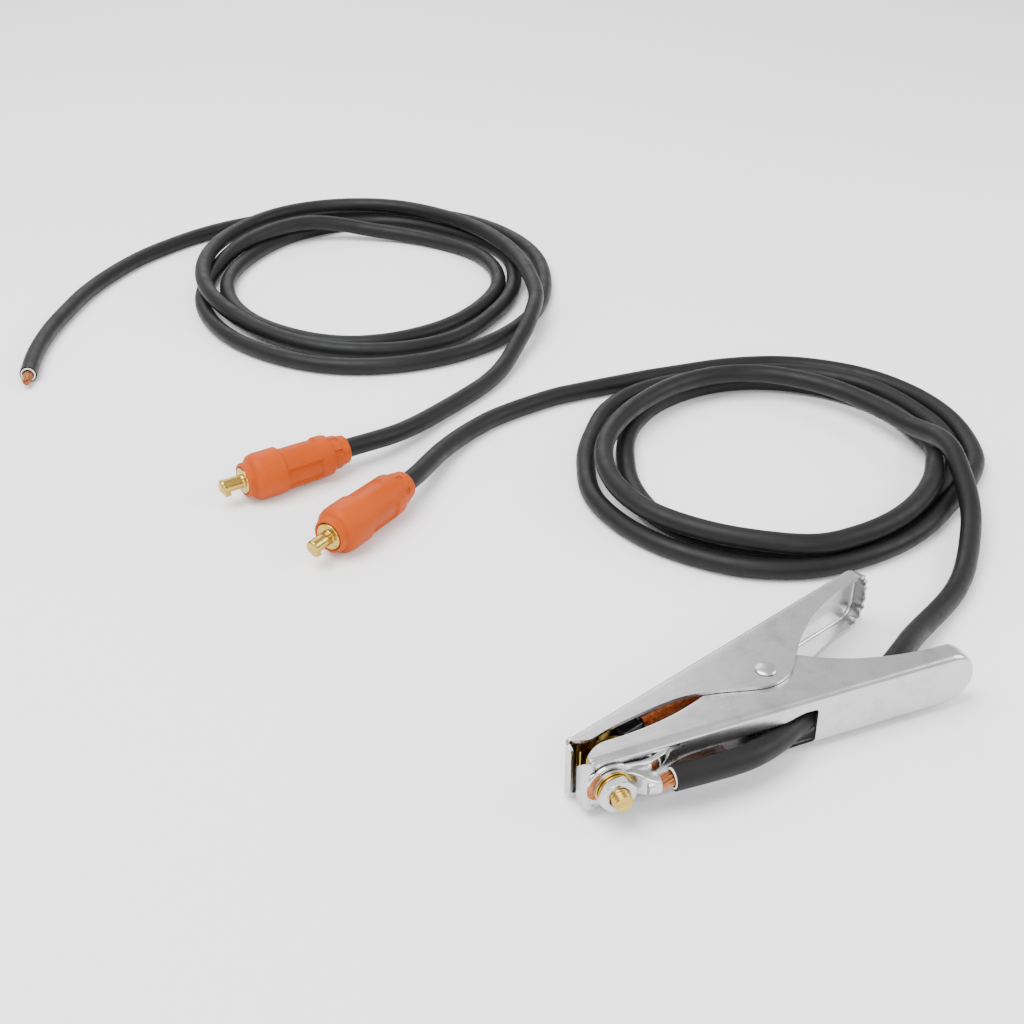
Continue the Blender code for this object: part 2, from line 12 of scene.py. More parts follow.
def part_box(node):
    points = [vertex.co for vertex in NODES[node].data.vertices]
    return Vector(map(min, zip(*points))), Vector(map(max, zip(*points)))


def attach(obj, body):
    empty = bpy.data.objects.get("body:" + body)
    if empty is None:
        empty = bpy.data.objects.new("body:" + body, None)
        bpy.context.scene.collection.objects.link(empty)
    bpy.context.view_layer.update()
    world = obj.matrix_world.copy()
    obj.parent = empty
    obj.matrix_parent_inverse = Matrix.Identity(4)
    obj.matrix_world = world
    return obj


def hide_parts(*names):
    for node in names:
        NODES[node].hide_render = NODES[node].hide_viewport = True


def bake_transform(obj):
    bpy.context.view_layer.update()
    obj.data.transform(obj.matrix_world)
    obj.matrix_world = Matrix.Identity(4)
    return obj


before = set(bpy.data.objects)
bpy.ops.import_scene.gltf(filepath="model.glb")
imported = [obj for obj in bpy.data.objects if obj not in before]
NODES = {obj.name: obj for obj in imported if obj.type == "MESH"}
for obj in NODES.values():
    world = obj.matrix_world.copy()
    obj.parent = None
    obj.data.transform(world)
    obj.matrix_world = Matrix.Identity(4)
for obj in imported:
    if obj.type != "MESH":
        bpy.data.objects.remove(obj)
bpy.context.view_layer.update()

# Design coordinates are millimetres: +X along the cable lever's web from its nose, +Y from the cable lever
# to the jaw lever, +Z up. The lever's own box says where they start in the frame.
MM = 0.001
LEVER_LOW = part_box("cable_lever")[0]
DESIGN_ORIGIN = Vector((LEVER_LOW.x, LEVER_LOW.y, 0))
MIDDLE_Z = 17.15
PIVOT = (99.8, 24.3)
BOLT = (11.0, MIDDLE_Z)

CAMERA_PLACE = (-198.8, -396.0, 430.0)
CAMERA_TURN = math.radians(-22.66)
CAMERA_PITCH = math.radians(32)

CABLE_RADIUS = 5.7
CABLE_POINT_SPACING = 4.0
PLUG_AXIS_Z = 13.75
PLUG_LENGTH = 80.6
CABLE_IN_PLUG = (63.0, 69.0, 75.0, 84.0)
# Each plug lies with its pin's tip at tip. raised is where one of its three raised panels stands round it.
PLUGS = {
    "electrode": {"tip": (-85.0, 306.5), "turn": math.radians(11.4), "raised": math.radians(218)},
    "earth": {"tip": (-54.6, 225.8), "turn": math.radians(33.2), "raised": math.radians(226)},
}

# The stretches of cable that aren't coiled, each from its plug, terminal or cut end towards its coil.
ELECTRODE_FEED = [
    (11, 326.2, 13.2), (23, 330.6, 11.8), (34, 336.3, 10.2), (45.5, 343.6, 8.6), (57, 351.4, 7.2),
    (69, 359.4, 6.3), (81, 367, 5.8), (94, 374.8, 5.8), (107, 383.5, 5.8), (120, 394, 6.2), (131, 405, 7.2),
    (141, 416.5, 8.8), (150, 427, 10.8), (160, 438.5, 13.4),
]
ELECTRODE_TAIL = [
    (-168, 514, 5.8), (-160, 544, 5.8), (-147, 577, 5.8), (-131, 607, 5.8), (-112, 638, 5.8),
    (-90, 665, 5.8), (-62, 691.5, 5.8), (-35, 709, 5.8), (-8, 722.5, 5.8), (20, 731, 5.8), (50, 734.5, 5.8),
]
EARTH_FEED = [
    (25, 280.5, 12.6), (35.5, 292.0, 11.0), (46, 303.5, 9.2), (56.5, 313.5, 7.7), (67, 321.8, 6.7),
    (78, 329.2, 6.0), (93, 337, 5.8), (110, 342.6, 5.8), (128, 347.0, 5.8), (144, 350.0, 5.8),
    (159, 350.5, 5.8),
]
EARTH_RUN = [
    (36.6, -8.0, 17.15), (49, -8.4, 17.0), (62, -8.6, 16.7), (74, -7.6, 16.2), (85, -4.6, 15.4),
    (95, -0.4, 14.6), (104, 4.2, 14.2), (114, 7.8, 14.2), (125, 10.2, 14.4), (136, 11.4, 14.8),
    (148, 14.6, 15.0), (160, 18.9, 14.8), (171, 24.4, 14.4), (182, 31.6, 13.8), (192, 38.9, 12.0),
    (203, 46.4, 9.5), (216, 54.2, 7.5), (229, 61.6, 6.3), (241, 68.9, 5.8), (251, 76.2, 5.9),
    (259, 83.0, 6.4), (267, 91.0, 7.6), (276.5, 101.5, 9.2),
]

# Each coil's stations are (angle in degrees, radius, height). The electrode coil runs inwards from its plug,
# and the earth coil from the clamp, each angle counted anticlockwise from the camera's right.
COIL_CENTRES = {"electrode": (87.0, 579.2), "earth": (223.9, 227.3)}
COIL_STATIONS = {
    "electrode": [
        (-30, 147, 16.2), (0, 121.5, 17.6), (30, 115, 17.6), (60, 120.5, 17.6), (90, 133.5, 17.6),
        (120, 138.5, 17.6), (150, 130, 17.6), (180, 121.5, 17.6), (210, 117, 15.5), (240, 116, 9),
        (270, 124, 7), (300, 126, 6.2), (330, 115, 5.9), (360, 113.5, 5.9), (390, 119.5, 5.8),
        (420, 120, 5.8), (450, 127, 5.8), (480, 118.5, 5.8), (510, 107, 5.8), (540, 103.5, 5.8),
        (570, 102.5, 5.8), (600, 105.5, 5.8), (630, 110.5, 5.8), (660, 106, 5.8), (690, 101, 5.8),
        (720, 101.5, 5.8), (750, 100.5, 5.8), (780, 96.5, 5.8), (810, 99.5, 8.5), (840, 109.5, 16.8),
        (870, 115, 14), (900, 119, 5.8), (930, 125, 5.8), (960, 135, 5.8), (990, 146, 5.8),
        (1020, 147, 5.8), (1050, 141.5, 5.8), (1080, 136.5, 5.8), (1110, 141.5, 5.8), (1140, 148, 5.8),
        (1165, 150.5, 5.8), (1185, 153.5, 5.8),
    ],
    "earth": [
        (-36, 127.5, 11.8), (-29, 120.5, 16), (-20, 112.5, 20.5), (-10, 106, 24.6),
        (0, 100, 22.6), (10, 94, 19), (20, 91, 17.6), (35, 88.5, 17.6), (60, 89.5, 17.6), (90, 92, 17.6),
        (120, 88, 17.6), (141, 86, 17.6), (163, 89, 17.6), (180, 94.5, 17.6), (200, 101, 17.6),
        (214, 105, 17.6), (227, 107, 17.6), (240, 107, 17.6), (260, 108, 17.6), (277, 109, 16.5),
        (289, 106, 16.5), (304, 103, 17), (320, 100, 17.2), (336, 98.5, 17.3), (348, 98.5, 15.4),
        (355, 100.5, 12.5), (362, 103, 9), (370, 106, 6.5), (380, 107, 5.8), (395, 109, 5.8),
        (420, 108, 5.8), (450, 103, 5.8), (480, 94, 5.8), (510, 86, 5.8), (540, 82, 5.8), (564, 87, 5.8),
        (584, 94, 5.8), (601, 97, 5.8), (630, 96.5, 5.8), (660, 96.5, 5.8), (675, 96.5, 5.8),
        (690, 98.5, 5.8), (700, 102.5, 5.8), (710, 108, 5.8), (720, 113.5, 5.8), (730, 118, 5.8),
        (740, 121, 5.8), (750, 122.5, 5.8), (771, 127.5, 5.8), (785, 124.5, 5.8), (796, 121, 5.8),
        (810, 115, 5.8), (828, 110.5, 5.8), (846, 111.5, 5.8), (864, 109.5, 5.8),
        (882, 105, 5.8), (900, 106, 5.8), (907, 107, 5.8), (923, 112, 5.8), (938, 114, 5.8),
        (952, 115.4, 5.8), (963, 116, 5.8), (977, 117, 5.8), (996, 115, 5.8), (1012, 111, 5.8),
        (1035, 108.5, 5.8), (1050, 109.5, 5.8), (1060, 113.5, 5.8), (1070, 120, 5.8), (1080, 127, 5.8),
        (1090, 130.5, 5.8), (1100, 134.5, 5.8), (1115, 138.5, 5.8), (1131, 139.5, 5.8), (1145, 136.5, 5.8),
        (1156, 133, 5.8), (1170, 127, 5.8), (1188, 122, 5.8), (1203, 125, 5.8),
    ],
}
COIL_STEP = 6

SHEET = 1.5
CABLE_LEVER_WIDTH = 27.5
JAW_LEVER_WIDTH = 31.1
CABLE_LEVER_LENGTH = 199.0
JAW_LEVER_LENGTH = 200.0
RIVET_HOLE_RADIUS = 3.3
RIVET_RADIUS = 3.0
JAW_NOSE = (-3.3, 16.7)
JAW_ANGLE = math.radians(18.7)
JAW_END_CORNER = 10.0
NOSE_BEND = 2.6
OUTER_BEND = 3.0
WORN_EDGE = 0.28
GAP = 0.3
NUT_RADIUS = 8.8
NUT_HEIGHT = 4.0
CLIP_THICKNESS = 1.2
LUG_SHEET = 1.2
WASHER_SHEET = 0.8
SPRING_WASHER_SHEET = 1.2
BOLT_PAST_WASHER = 8.4
BOLT_RADIUS = 4.3
BOLT_HOLE_RADIUS = 4.7
THREAD_PITCH = 1.59
THREAD_DEPTH = 0.62
CONTACT_HALF_WIDTH = 10.0
CONTACT_SHEET = 1.2
JAW_CONTACT_RIVET = (15.5, MIDDLE_Z)
LUG_EYE_RADIUS = 8.5
BRAID_WIRE_RADIUS = 0.27
LUG_AXIS = (-7.8, MIDDLE_Z)
JACKET_END_X = 36.6
JAW_PLACING = Matrix.Translation((*JAW_NOSE, 0)) @ Matrix.Rotation(JAW_ANGLE, 4, "Z")

# Each lever's rim runs through these (along, height) places, from the nose to the handle's end.
CABLE_LEVER_EDGE = [
    (2.6, 4.6), (5.8, 7.4), (9.0, 9.3), (12, 10.2), (20.4, 10.5), (30.2, 11.3), (40.7, 12.9), (51.7, 15.5),
    (64, 19.8), (75, 24.8), (84, 29.6), (92, 33.4), (99, 34.9), (106, 34.4), (113, 32.5), (120.2, 29.5),
    (128.5, 24.2), (136.5, 20.1), (145, 16.8), (154.1, 14.2), (164.5, 12.0), (176, 10.6), (183, 10.4),
    (199, 10.2),
]
JAW_LEVER_EDGE = [
    (2.6, 3.8), (6, 6.6), (8.5, 7.8), (14, 8.0), (19.8, 8.1), (25.3, 8.5), (36.2, 9.8), (46.8, 11.5),
    (57, 13.9), (65.7, 17.6), (73.7, 22.1), (81.2, 27.1), (88.8, 32.1), (93.2, 34.1), (98.4, 35.3),
    (104.4, 35.0), (110, 33.4), (115.2, 30.2), (120.6, 27.1), (128.7, 22.2), (137.7, 17.9), (147.1, 14.6),
    (155.7, 12.5), (165.8, 10.6), (176.9, 9.3), (188.6, 9.0), (200, 8.4),
]

SEED = random.Random(11)


def at(x, y, z=0.0):
    """A place given in design millimetres, in the frame's metres."""
    return DESIGN_ORIGIN + Vector((x, y, z)) * MM


def curve_through(points, spacing):
    """Evenly spaced places on a smooth curve through points of uneven spacing."""
    places = [np.array(point, float) for point in points]
    knots = [0.0]
    for start, end in zip(places, places[1:]):
        knots.append(knots[-1] + math.sqrt(np.linalg.norm(end - start)))
    slopes = []
    for i in range(len(places)):
        low = max(i - 1, 0)
        high = min(i + 1, len(places) - 1)
        if low == i or high == i:
            slopes.append((places[high] - places[low]) / (knots[high] - knots[low]))
            continue
        before = (places[i] - places[low]) / (knots[i] - knots[low])
        after = (places[high] - places[i]) / (knots[high] - knots[i])
        share = (knots[i] - knots[low]) / (knots[high] - knots[low])
        slopes.append(before * (1 - share) + after * share)
    fine = []
    for i in range(len(places) - 1):
        width = knots[i + 1] - knots[i]
        for step in range(24):
            t = step / 24
            fine.append(places[i] * (2 * t ** 3 - 3 * t ** 2 + 1)
                        + slopes[i] * width * (t ** 3 - 2 * t ** 2 + t)
                        + places[i + 1] * (3 * t ** 2 - 2 * t ** 3)
                        + slopes[i + 1] * width * (t ** 3 - t ** 2))
    fine.append(places[-1])
    fine = np.array(fine)
    reached = np.concatenate([[0], np.cumsum(np.linalg.norm(np.diff(fine, axis=0), axis=1))])
    count = max(2, round(reached[-1] / spacing) + 1)
    wanted = np.linspace(0, reached[-1], count)
    return np.stack([np.interp(wanted, reached, fine[:, axis]) for axis in range(3)], axis=1)


def coil_route(lead):
    """The coil's turns: radius and height run smoothly between its stations."""
    centre = COIL_CENTRES[lead]
    stations = COIL_STATIONS[lead]
    smooth = curve_through(stations, 1.0)
    angles = np.arange(stations[0][0], stations[-1][0] + 0.1, COIL_STEP)
    route = []
    for angle in angles:
        radius = np.interp(angle, smooth[:, 0], smooth[:, 1])
        height = np.interp(angle, smooth[:, 0], smooth[:, 2])
        turn = math.radians(angle) + CAMERA_TURN
        route.append((centre[0] + radius * math.cos(turn), centre[1] + radius * math.sin(turn), height))
    return route


def plug_axis_places(lead):
    """The cable's places along the plug's axis, inside its sleeve."""
    turn = PLUGS[lead]["turn"]
    x, y = PLUGS[lead]["tip"]
    return [(x + along * math.cos(turn), y + along * math.sin(turn), PLUG_AXIS_Z) for along in CABLE_IN_PLUG]


def cable_curve(name, points):
    """(cable, length) of a cable as one smooth round curve, in metres."""
    places = curve_through(points, CABLE_POINT_SPACING)
    curve = bpy.data.curves.new(name, "CURVE")
    curve.dimensions = "3D"
    curve.bevel_depth = CABLE_RADIUS * MM
    curve.bevel_resolution = 8
    curve.use_fill_caps = True
    spline = curve.splines.new("POLY")
    spline.points.add(len(places) - 1)
    for point, place in zip(spline.points, places):
        point.co = (*at(*place), 1)
    spline.use_smooth = True
    cable = bpy.data.objects.new(name, curve)
    bpy.context.scene.collection.objects.link(cable)
    length = float(np.linalg.norm(np.diff(places, axis=0), axis=1).sum()) * MM
    return cable, length


def make_camera():
    camera = bpy.data.cameras.new("camera")
    camera.lens = 50
    camera.sensor_width = 36
    holder = bpy.data.objects.new("camera", camera)
    holder.location = at(*CAMERA_PLACE)
    holder.rotation_euler = (math.pi / 2 - CAMERA_PITCH, 0, CAMERA_TURN)
    bpy.context.scene.collection.objects.link(holder)
    bpy.context.scene.camera = holder


def noise(tree, scale, detail=4.0, roughness=0.55, stretch=(1, 1, 1)):
    """A noise texture at that many features per metre in the object's own space."""
    place = tree.nodes.new("ShaderNodeTexCoord")
    mapping = tree.nodes.new("ShaderNodeMapping")
    mapping.inputs["Scale"].default_value = stretch
    texture = tree.nodes.new("ShaderNodeTexNoise")
    texture.inputs["Scale"].default_value = scale
    texture.inputs["Detail"].default_value = detail
    texture.inputs["Roughness"].default_value = roughness
    tree.links.new(place.outputs["Object"], mapping.inputs["Vector"])
    tree.links.new(mapping.outputs["Vector"], texture.inputs["Vector"])
    return texture.outputs["Fac"]


def ramp(tree, source, stops):
    """A colour ramp of (place, colour) stops, where a plain number stands for a grey."""
    made = tree.nodes.new("ShaderNodeValToRGB")
    elements = made.color_ramp.elements
    while len(elements) < len(stops):
        elements.new(0.5)
    for element, (place, colour) in zip(elements, stops):
        element.position = place
        element.color = (colour, colour, colour, 1) if isinstance(colour, float) else (*colour, 1)
    tree.links.new(source, made.inputs["Fac"])
    return made.outputs["Color"]


def bump(tree, height, strength, distance, under=None):
    made = tree.nodes.new("ShaderNodeBump")
    made.inputs["Strength"].default_value = strength
    made.inputs["Distance"].default_value = distance
    tree.links.new(height, made.inputs["Height"])
    if under is not None:
        tree.links.new(under, made.inputs["Normal"])
    return made.outputs["Normal"]


def surface(name, metallic=0.0, specular=0.5):
    material = bpy.data.materials.new(name)
    material.use_nodes = True
    shader = material.node_tree.nodes["Principled BSDF"]
    shader.inputs["Metallic"].default_value = metallic
    shader.inputs["Specular IOR Level"].default_value = specular
    return material, material.node_tree, shader


def finish_surface(tree, shader, colour, roughness, normal=None):
    tree.links.new(colour, shader.inputs["Base Color"])
    tree.links.new(roughness, shader.inputs["Roughness"])
    if normal is not None:
        tree.links.new(normal, shader.inputs["Normal"])


def zinc_steel_look(name, light, dark, smooth, rough):
    """Bright zinc plating on pressed sheet: cloudy, with draw lines, faint stains and small scratches."""
    material, tree, shader = surface(name, metallic=1.0)
    clouds = noise(tree, 70, 5.0, 0.62)
    fine = noise(tree, 900, 3.0)
    lines = noise(tree, 160, 3.0, 0.6, (0.16, 3, 3))
    tone = ramp(tree, clouds, [(0.3, dark), (0.52, light), (0.75, tuple(c * 0.94 for c in light))])
    shine = ramp(tree, noise(tree, 45, 6.0, 0.7), [(0.32, smooth), (0.7, rough)])
    normal = bump(tree, fine, 0.12, 0.0002)
    normal = bump(tree, lines, 0.10, 0.0006, normal)
    normal = bump(tree, noise(tree, 55, 2.0), 0.16, 0.0016, normal)
    finish_surface(tree, shader, tone, shine, normal)
    return material


def metal_look(name, light, dark, smooth, rough, scale=300):
    """Bare metal, a little uneven in tone and shine."""
    material, tree, shader = surface(name, metallic=1.0)
    tone = ramp(tree, noise(tree, scale), [(0.3, dark), (0.7, light)])
    shine = ramp(tree, noise(tree, scale * 2.5, 3.0), [(0.3, smooth), (0.75, rough)])
    normal = bump(tree, noise(tree, scale * 4, 3.0), 0.15, 0.0002)
    finish_surface(tree, shader, tone, shine, normal)
    return material


def rubber_look(name, light, dark, smooth, rough, specular=0.5):
    """Moulded rubber: a faint cloudiness, a fine grain and a slow unevenness."""
    material, tree, shader = surface(name, specular=specular)
    tone = ramp(tree, noise(tree, 35, 5.0, 0.6), [(0.3, dark), (0.7, light)])
    shine = ramp(tree, noise(tree, 120, 4.0), [(0.3, smooth), (0.7, rough)])
    normal = bump(tree, noise(tree, 2600, 3.0), 0.14, 0.00012)
    normal = bump(tree, noise(tree, 60, 2.0), 0.12, 0.0008, normal)
    finish_surface(tree, shader, tone, shine, normal)
    return material


def make_looks():
    """Each material, by the record's name for its slot. Its own numbers are its tones, then its shine."""
    return {
        "zinc_steel": zinc_steel_look("zinc_plated_steel", (0.57, 0.562, 0.57), (0.45, 0.445, 0.455), 0.25,
                                      0.34),
        "bright_steel": zinc_steel_look("bright_steel", (0.74, 0.74, 0.75), (0.5, 0.5, 0.51), 0.12, 0.22),
        "spring_steel": metal_look("dark_spring_steel", (0.10, 0.10, 0.105), (0.05, 0.05, 0.055), 0.3, 0.5),
        "brass": metal_look("bright_brass", (0.58, 0.40, 0.095), (0.44, 0.29, 0.06), 0.16, 0.30),
        "copper": metal_look("brown_copper", (0.60, 0.24, 0.10), (0.34, 0.12, 0.05), 0.28, 0.45, 500),
        # dark_copper: copper darkened as painted shade, for the braid's solid core, which stands for the
        # shade inside the braid that shows between its wires.
        "dark_copper": metal_look("dark_copper", (0.22, 0.08, 0.04), (0.10, 0.035, 0.02), 0.4, 0.6, 500),
        # braid_copper: the copper painted lighter for the braid's wires, painted light that makes up for the
        # shade the braid lies in between the levers.
        "braid_copper": metal_look("braid_copper", (0.88, 0.42, 0.20), (0.56, 0.24, 0.11), 0.3, 0.5, 500),
        "orange_rubber": rubber_look("orange_rubber", (0.43, 0.060, 0.0003), (0.35, 0.047, 0.0002), 0.42,
                                     0.56, specular=0.16),
        "cable_rubber": rubber_look("black_cable_rubber", (0.0075, 0.0075, 0.0078), (0.004, 0.004, 0.0042),
                                    0.42, 0.56, specular=0.22),
        "white_liner": rubber_look("white_liner", (0.82, 0.82, 0.80), (0.70, 0.70, 0.68), 0.45, 0.6),
    }


def make_studio():
    """A pale floor and soft light from a wide overhead panel, two side panels and a white sky."""
    floor = bpy.data.meshes.new("floor")
    reach = 6.0
    floor.from_pydata([(-reach, -reach, 0), (reach, -reach, 0), (reach, reach, 0), (-reach, reach, 0)], [],
                      [(0, 1, 2, 3)])
    piece = bpy.data.objects.new("floor", floor)
    material, tree, shader = surface("pale_floor", specular=0.1)
    tone = ramp(tree, noise(tree, 2.0), [(0.3, 0.93), (0.7, 0.95)])
    tree.links.new(tone, shader.inputs["Base Color"])
    shader.inputs["Roughness"].default_value = 0.9
    floor.materials.append(material)
    bpy.context.scene.collection.objects.link(piece)
    world = bpy.data.worlds.new("studio")
    world.use_nodes = True
    back = world.node_tree.nodes["Background"]
    back.inputs["Color"].default_value = (1.0, 1.0, 1.0, 1)
    back.inputs["Strength"].default_value = 0.95
    bpy.context.scene.world = world
    for name, place, aim, size, power in (
        ("key_panel", (-0.7, 0.2, 1.6), (0, 0.25, 0), 1.3, 56),
        ("back_panel", (0.3, 1.9, 1.1), (0, 0.3, 0), 1.3, 12),
        ("side_panel", (1.4, -0.4, 0.9), (0, 0.2, 0), 0.9, 16),
        ("front_panel", (-0.3, -1.3, 0.9), (0, 0, 0), 0.9, 14),
    ):
        light = bpy.data.lights.new(name, "AREA")
        light.shape = "SQUARE"
        light.size = size
        light.energy = power
        lamp = bpy.data.objects.new(name, light)
        lamp.location = place
        lamp.rotation_euler = (Vector(aim) - Vector(place)).to_track_quat("-Z", "Y").to_euler()
        bpy.context.scene.collection.objects.link(lamp)


LOOKS = make_looks()


def wear(piece, look):
    """Gives a piece its look."""
    piece.data.materials.clear()
    piece.data.materials.append(LOOKS[look])


def dress_cad_nodes():
    """Gives each CAD node the look whose name starts its own material's name."""
    for piece in NODES.values():
        used = piece.data.materials[0].name if piece.data.materials else ""
        look = next((look for look in LOOKS if used.startswith(look)), "zinc_steel")
        piece.data.materials.clear()
        piece.data.materials.append(LOOKS[look])


def new_piece(name, points, faces, look, nodes=(), body="cable_side", placing=Matrix(), angle=35, slot=None):
    """A piece from points in design millimetres. It takes the place of the named CAD nodes."""
    mesh = bpy.data.meshes.new(name)
    mesh.from_pydata([at(*(placing @ Vector(point))) for point in points], [], faces)
    shape = bmesh.new()
    shape.from_mesh(mesh)
    bmesh.ops.remove_doubles(shape, verts=shape.verts, dist=0.000004)
    bmesh.ops.recalc_face_normals(shape, faces=shape.faces)
    shape.to_mesh(mesh)
    shape.free()
    piece = bpy.data.objects.new(name, mesh)
    bpy.context.scene.collection.objects.link(piece)
    smooth(piece, angle)
    wear(piece, look)
    if nodes:
        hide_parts(*nodes)
    if body:
        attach(piece, body)
    return piece


def smooth(piece, angle):
    piece.data.shade_smooth()
    piece.data.set_sharp_from_angle(angle=math.radians(angle))


def settle(piece, angle=35):
    """Makes the modifiers' result the piece's own mesh."""
    look = piece.data.materials[0]
    bpy.context.view_layer.update()
    mesh = bpy.data.meshes.new_from_object(piece.evaluated_get(bpy.context.evaluated_depsgraph_get()))
    piece.modifiers.clear()
    piece.data = mesh
    piece.data.materials.clear()
    piece.data.materials.append(look)
    smooth(piece, angle)


def bevel(piece, width, segments=2, angle=40):
    modifier = piece.modifiers.new("edges", "BEVEL")
    modifier.width = width * MM
    modifier.segments = segments
    modifier.limit_method = "ANGLE"
    modifier.angle_limit = math.radians(angle)
    modifier.harden_normals = False


def carve(piece, points, faces, operation="DIFFERENCE", placing=Matrix()):
    """Cuts a closed shape out of the piece, or keeps only what lies inside it."""
    mesh = bpy.data.meshes.new("tool")
    mesh.from_pydata([at(*(placing @ Vector(point))) for point in points], [], faces)
    shape = bmesh.new()
    shape.from_mesh(mesh)
    bmesh.ops.recalc_face_normals(shape, faces=shape.faces)
    shape.to_mesh(mesh)
    shape.free()
    tool = bpy.data.objects.new("tool", mesh)
    bpy.context.scene.collection.objects.link(tool)
    modifier = piece.modifiers.new("cut", "BOOLEAN")
    modifier.operation = operation
    modifier.object = tool
    modifier.solver = "EXACT"
    settle(piece)
    bpy.data.objects.remove(tool, do_unlink=True)


def grid_faces(rows, columns, wrap=False, start=0):
    """Quads between rows of points that follow each other. wrap joins the last column to the first."""
    faces = []
    for i in range(rows - 1):
        for j in range(columns if wrap else columns - 1):
            k = (j + 1) % columns
            faces.append((start + i * columns + j, start + i * columns + k,
                          start + (i + 1) * columns + k, start + (i + 1) * columns + j))
    return faces


def capped_faces(rows, columns):
    """The faces of a closed bar whose rows of points are its sections."""
    count = rows * columns
    return grid_faces(rows, columns, True) + [tuple(range(columns)), tuple(range(count - columns, count))]


def prism(outline, low, high, plane="XZ"):
    """(points, faces) of an outline extruded along Y, or along X in plane YZ, or along Z in plane XY."""
    spread = {
        "XZ": lambda a, b, d: (a, d, b),
        "YZ": lambda a, b, d: (d, a, b),
        "XY": lambda a, b, d: (a, b, d),
    }
    points = [spread[plane](a, b, d) for d in (low, high) for a, b in outline]
    count = len(outline)
    faces = [tuple(range(count)), tuple(range(count, 2 * count))]
    faces += grid_faces(2, count, True)
    return points, faces


def circle(centre, radius, steps=48):
    turns = [math.tau * step / steps for step in range(steps)]
    return [(centre[0] + radius * math.cos(turn), centre[1] + radius * math.sin(turn)) for turn in turns]


def rounded(path, radius, steps=4):
    """A closed path of (x, y) whose corners are rounded, each by at most a share of its shorter side."""
    places = [Vector(point) for point in path]
    count = len(places)
    made = []
    for i, place in enumerate(places):
        before = places[i - 1] - place
        after = places[(i + 1) % count] - place
        reach = min(radius, before.length * 0.45, after.length * 0.45)
        start = place + before.normalized() * reach
        end = place + after.normalized() * reach
        for step in range(steps + 1):
            t = step / steps
            made.append(tuple(start * (1 - t) ** 2 + place * 2 * t * (1 - t) + end * t * t))
    return made


def turned(name, profile, place, turn, look, nodes=(), body="cable_side", steps=64, shape=None, angle=35,
           closed=False):
    """A turned piece: profile lists (along, radius). shape gives the radius at an along, radius and angle."""
    matrix = Matrix.Translation(place) @ turn
    points = []
    for along, radius in profile:
        for step in range(steps):
            theta = math.tau * step / steps
            r = shape(along, radius, theta) if shape and radius > 0 else radius
            points.append((r * math.cos(theta), r * math.sin(theta), along))
    faces = grid_faces(len(profile), steps, True)
    if closed:
        last = (len(profile) - 1) * steps
        for j in range(steps):
            k = (j + 1) % steps
            faces.append((last + j, last + k, k, j))
    return new_piece(name, points, faces, look, nodes, body, matrix, angle)


def frames_along(route):
    """(place, along, across, up) at each place of a route, up staying as near to +Z as it can."""
    places = [Vector(point) for point in route]
    made = []
    for i, place in enumerate(places):
        along = (places[min(i + 1, len(places) - 1)] - places[max(i - 1, 0)]).normalized()
        across = Vector((0, 0, 1)).cross(along).normalized()
        made.append((place, along, across, along.cross(across)))
    return made


def lever_mesh(length, width, corner, edge, side, wave):
    """The pressed channel: a web with round corners at its end, bends round it, and flanges up to the edge.

    side is 1 where the flanges rise towards +Y, and -1 where they fall. wave moves a point out and up."""
    half = width / 2
    centre_x = length - corner
    outline = curve_through([(x, y, 0) for x, y in edge], 0.5)
    stations = [(x, 0.0, 0.0) for x in np.arange(NOSE_BEND, centre_x - 0.5, 1.6)]
    stations += [(centre_x, math.radians(angle), 0.0) for angle in np.linspace(0, 90, 31)]
    inward = half - corner
    if inward > GAP:
        shares = np.linspace(0, 1, max(1, round(inward / 1.2)) + 1)
        stations += [(centre_x, math.pi / 2, share) for share in shares[1:]]
    rows = 11
    bends = 7
    web = 7
    shells = []
    for depth in (0.0, SHEET):
        reach = OUTER_BEND - depth
        points = []
        for x, angle, share_in in stations:
            core = corner - OUTER_BEND
            base_x = x + corner * math.sin(angle)
            run = x + corner * angle + inward * share_in
            height = float(np.interp(base_x, outline[:, 0], outline[:, 1]))
            sides = []
            for z_side in (-1, 1):
                out = Vector((math.sin(angle), 0, z_side * math.cos(angle)))
                spread = inward * (1 - share_in) + core * math.cos(angle)
                middle = Vector((x + core * math.sin(angle), 0, MIDDLE_Z + z_side * spread))
                column = []
                for row in range(rows):
                    share = 1 - row / (rows - 1)
                    push, lift = wave(run, share, z_side)
                    y = OUTER_BEND + (height - OUTER_BEND + lift) * share
                    column.append(middle + out * (reach + push) + Vector((0, y, 0)))
                for step in range(1, bends + 1):
                    turn = math.pi / 2 * (1 - step / bends)
                    column.append(middle + out * reach * math.sin(turn)
                                  + Vector((0, OUTER_BEND - reach * math.cos(turn), 0)))
                sides.append(column)
            low, high = sides
            across = [low[-1].lerp(high[-1], step / web) for step in range(1, web)]
            points += [*low, *across, *high[::-1]]
        shells.append(points)
    columns = len(shells[0]) // len(stations)
    count = len(shells[0])
    faces = grid_faces(len(stations), columns) + grid_faces(len(stations), columns, start=count)
    for i in range(len(stations) - 1):
        for j in (0, columns - 1):
            a = i * columns + j
            faces.append((a, a + columns, a + columns + count, a + count))
    for j in range(columns - 1):
        faces.append((j, j + 1, j + 1 + count, j + count))
    points = [(p.x, side * p.y, p.z) for shell in shells for p in shell]
    return points, faces


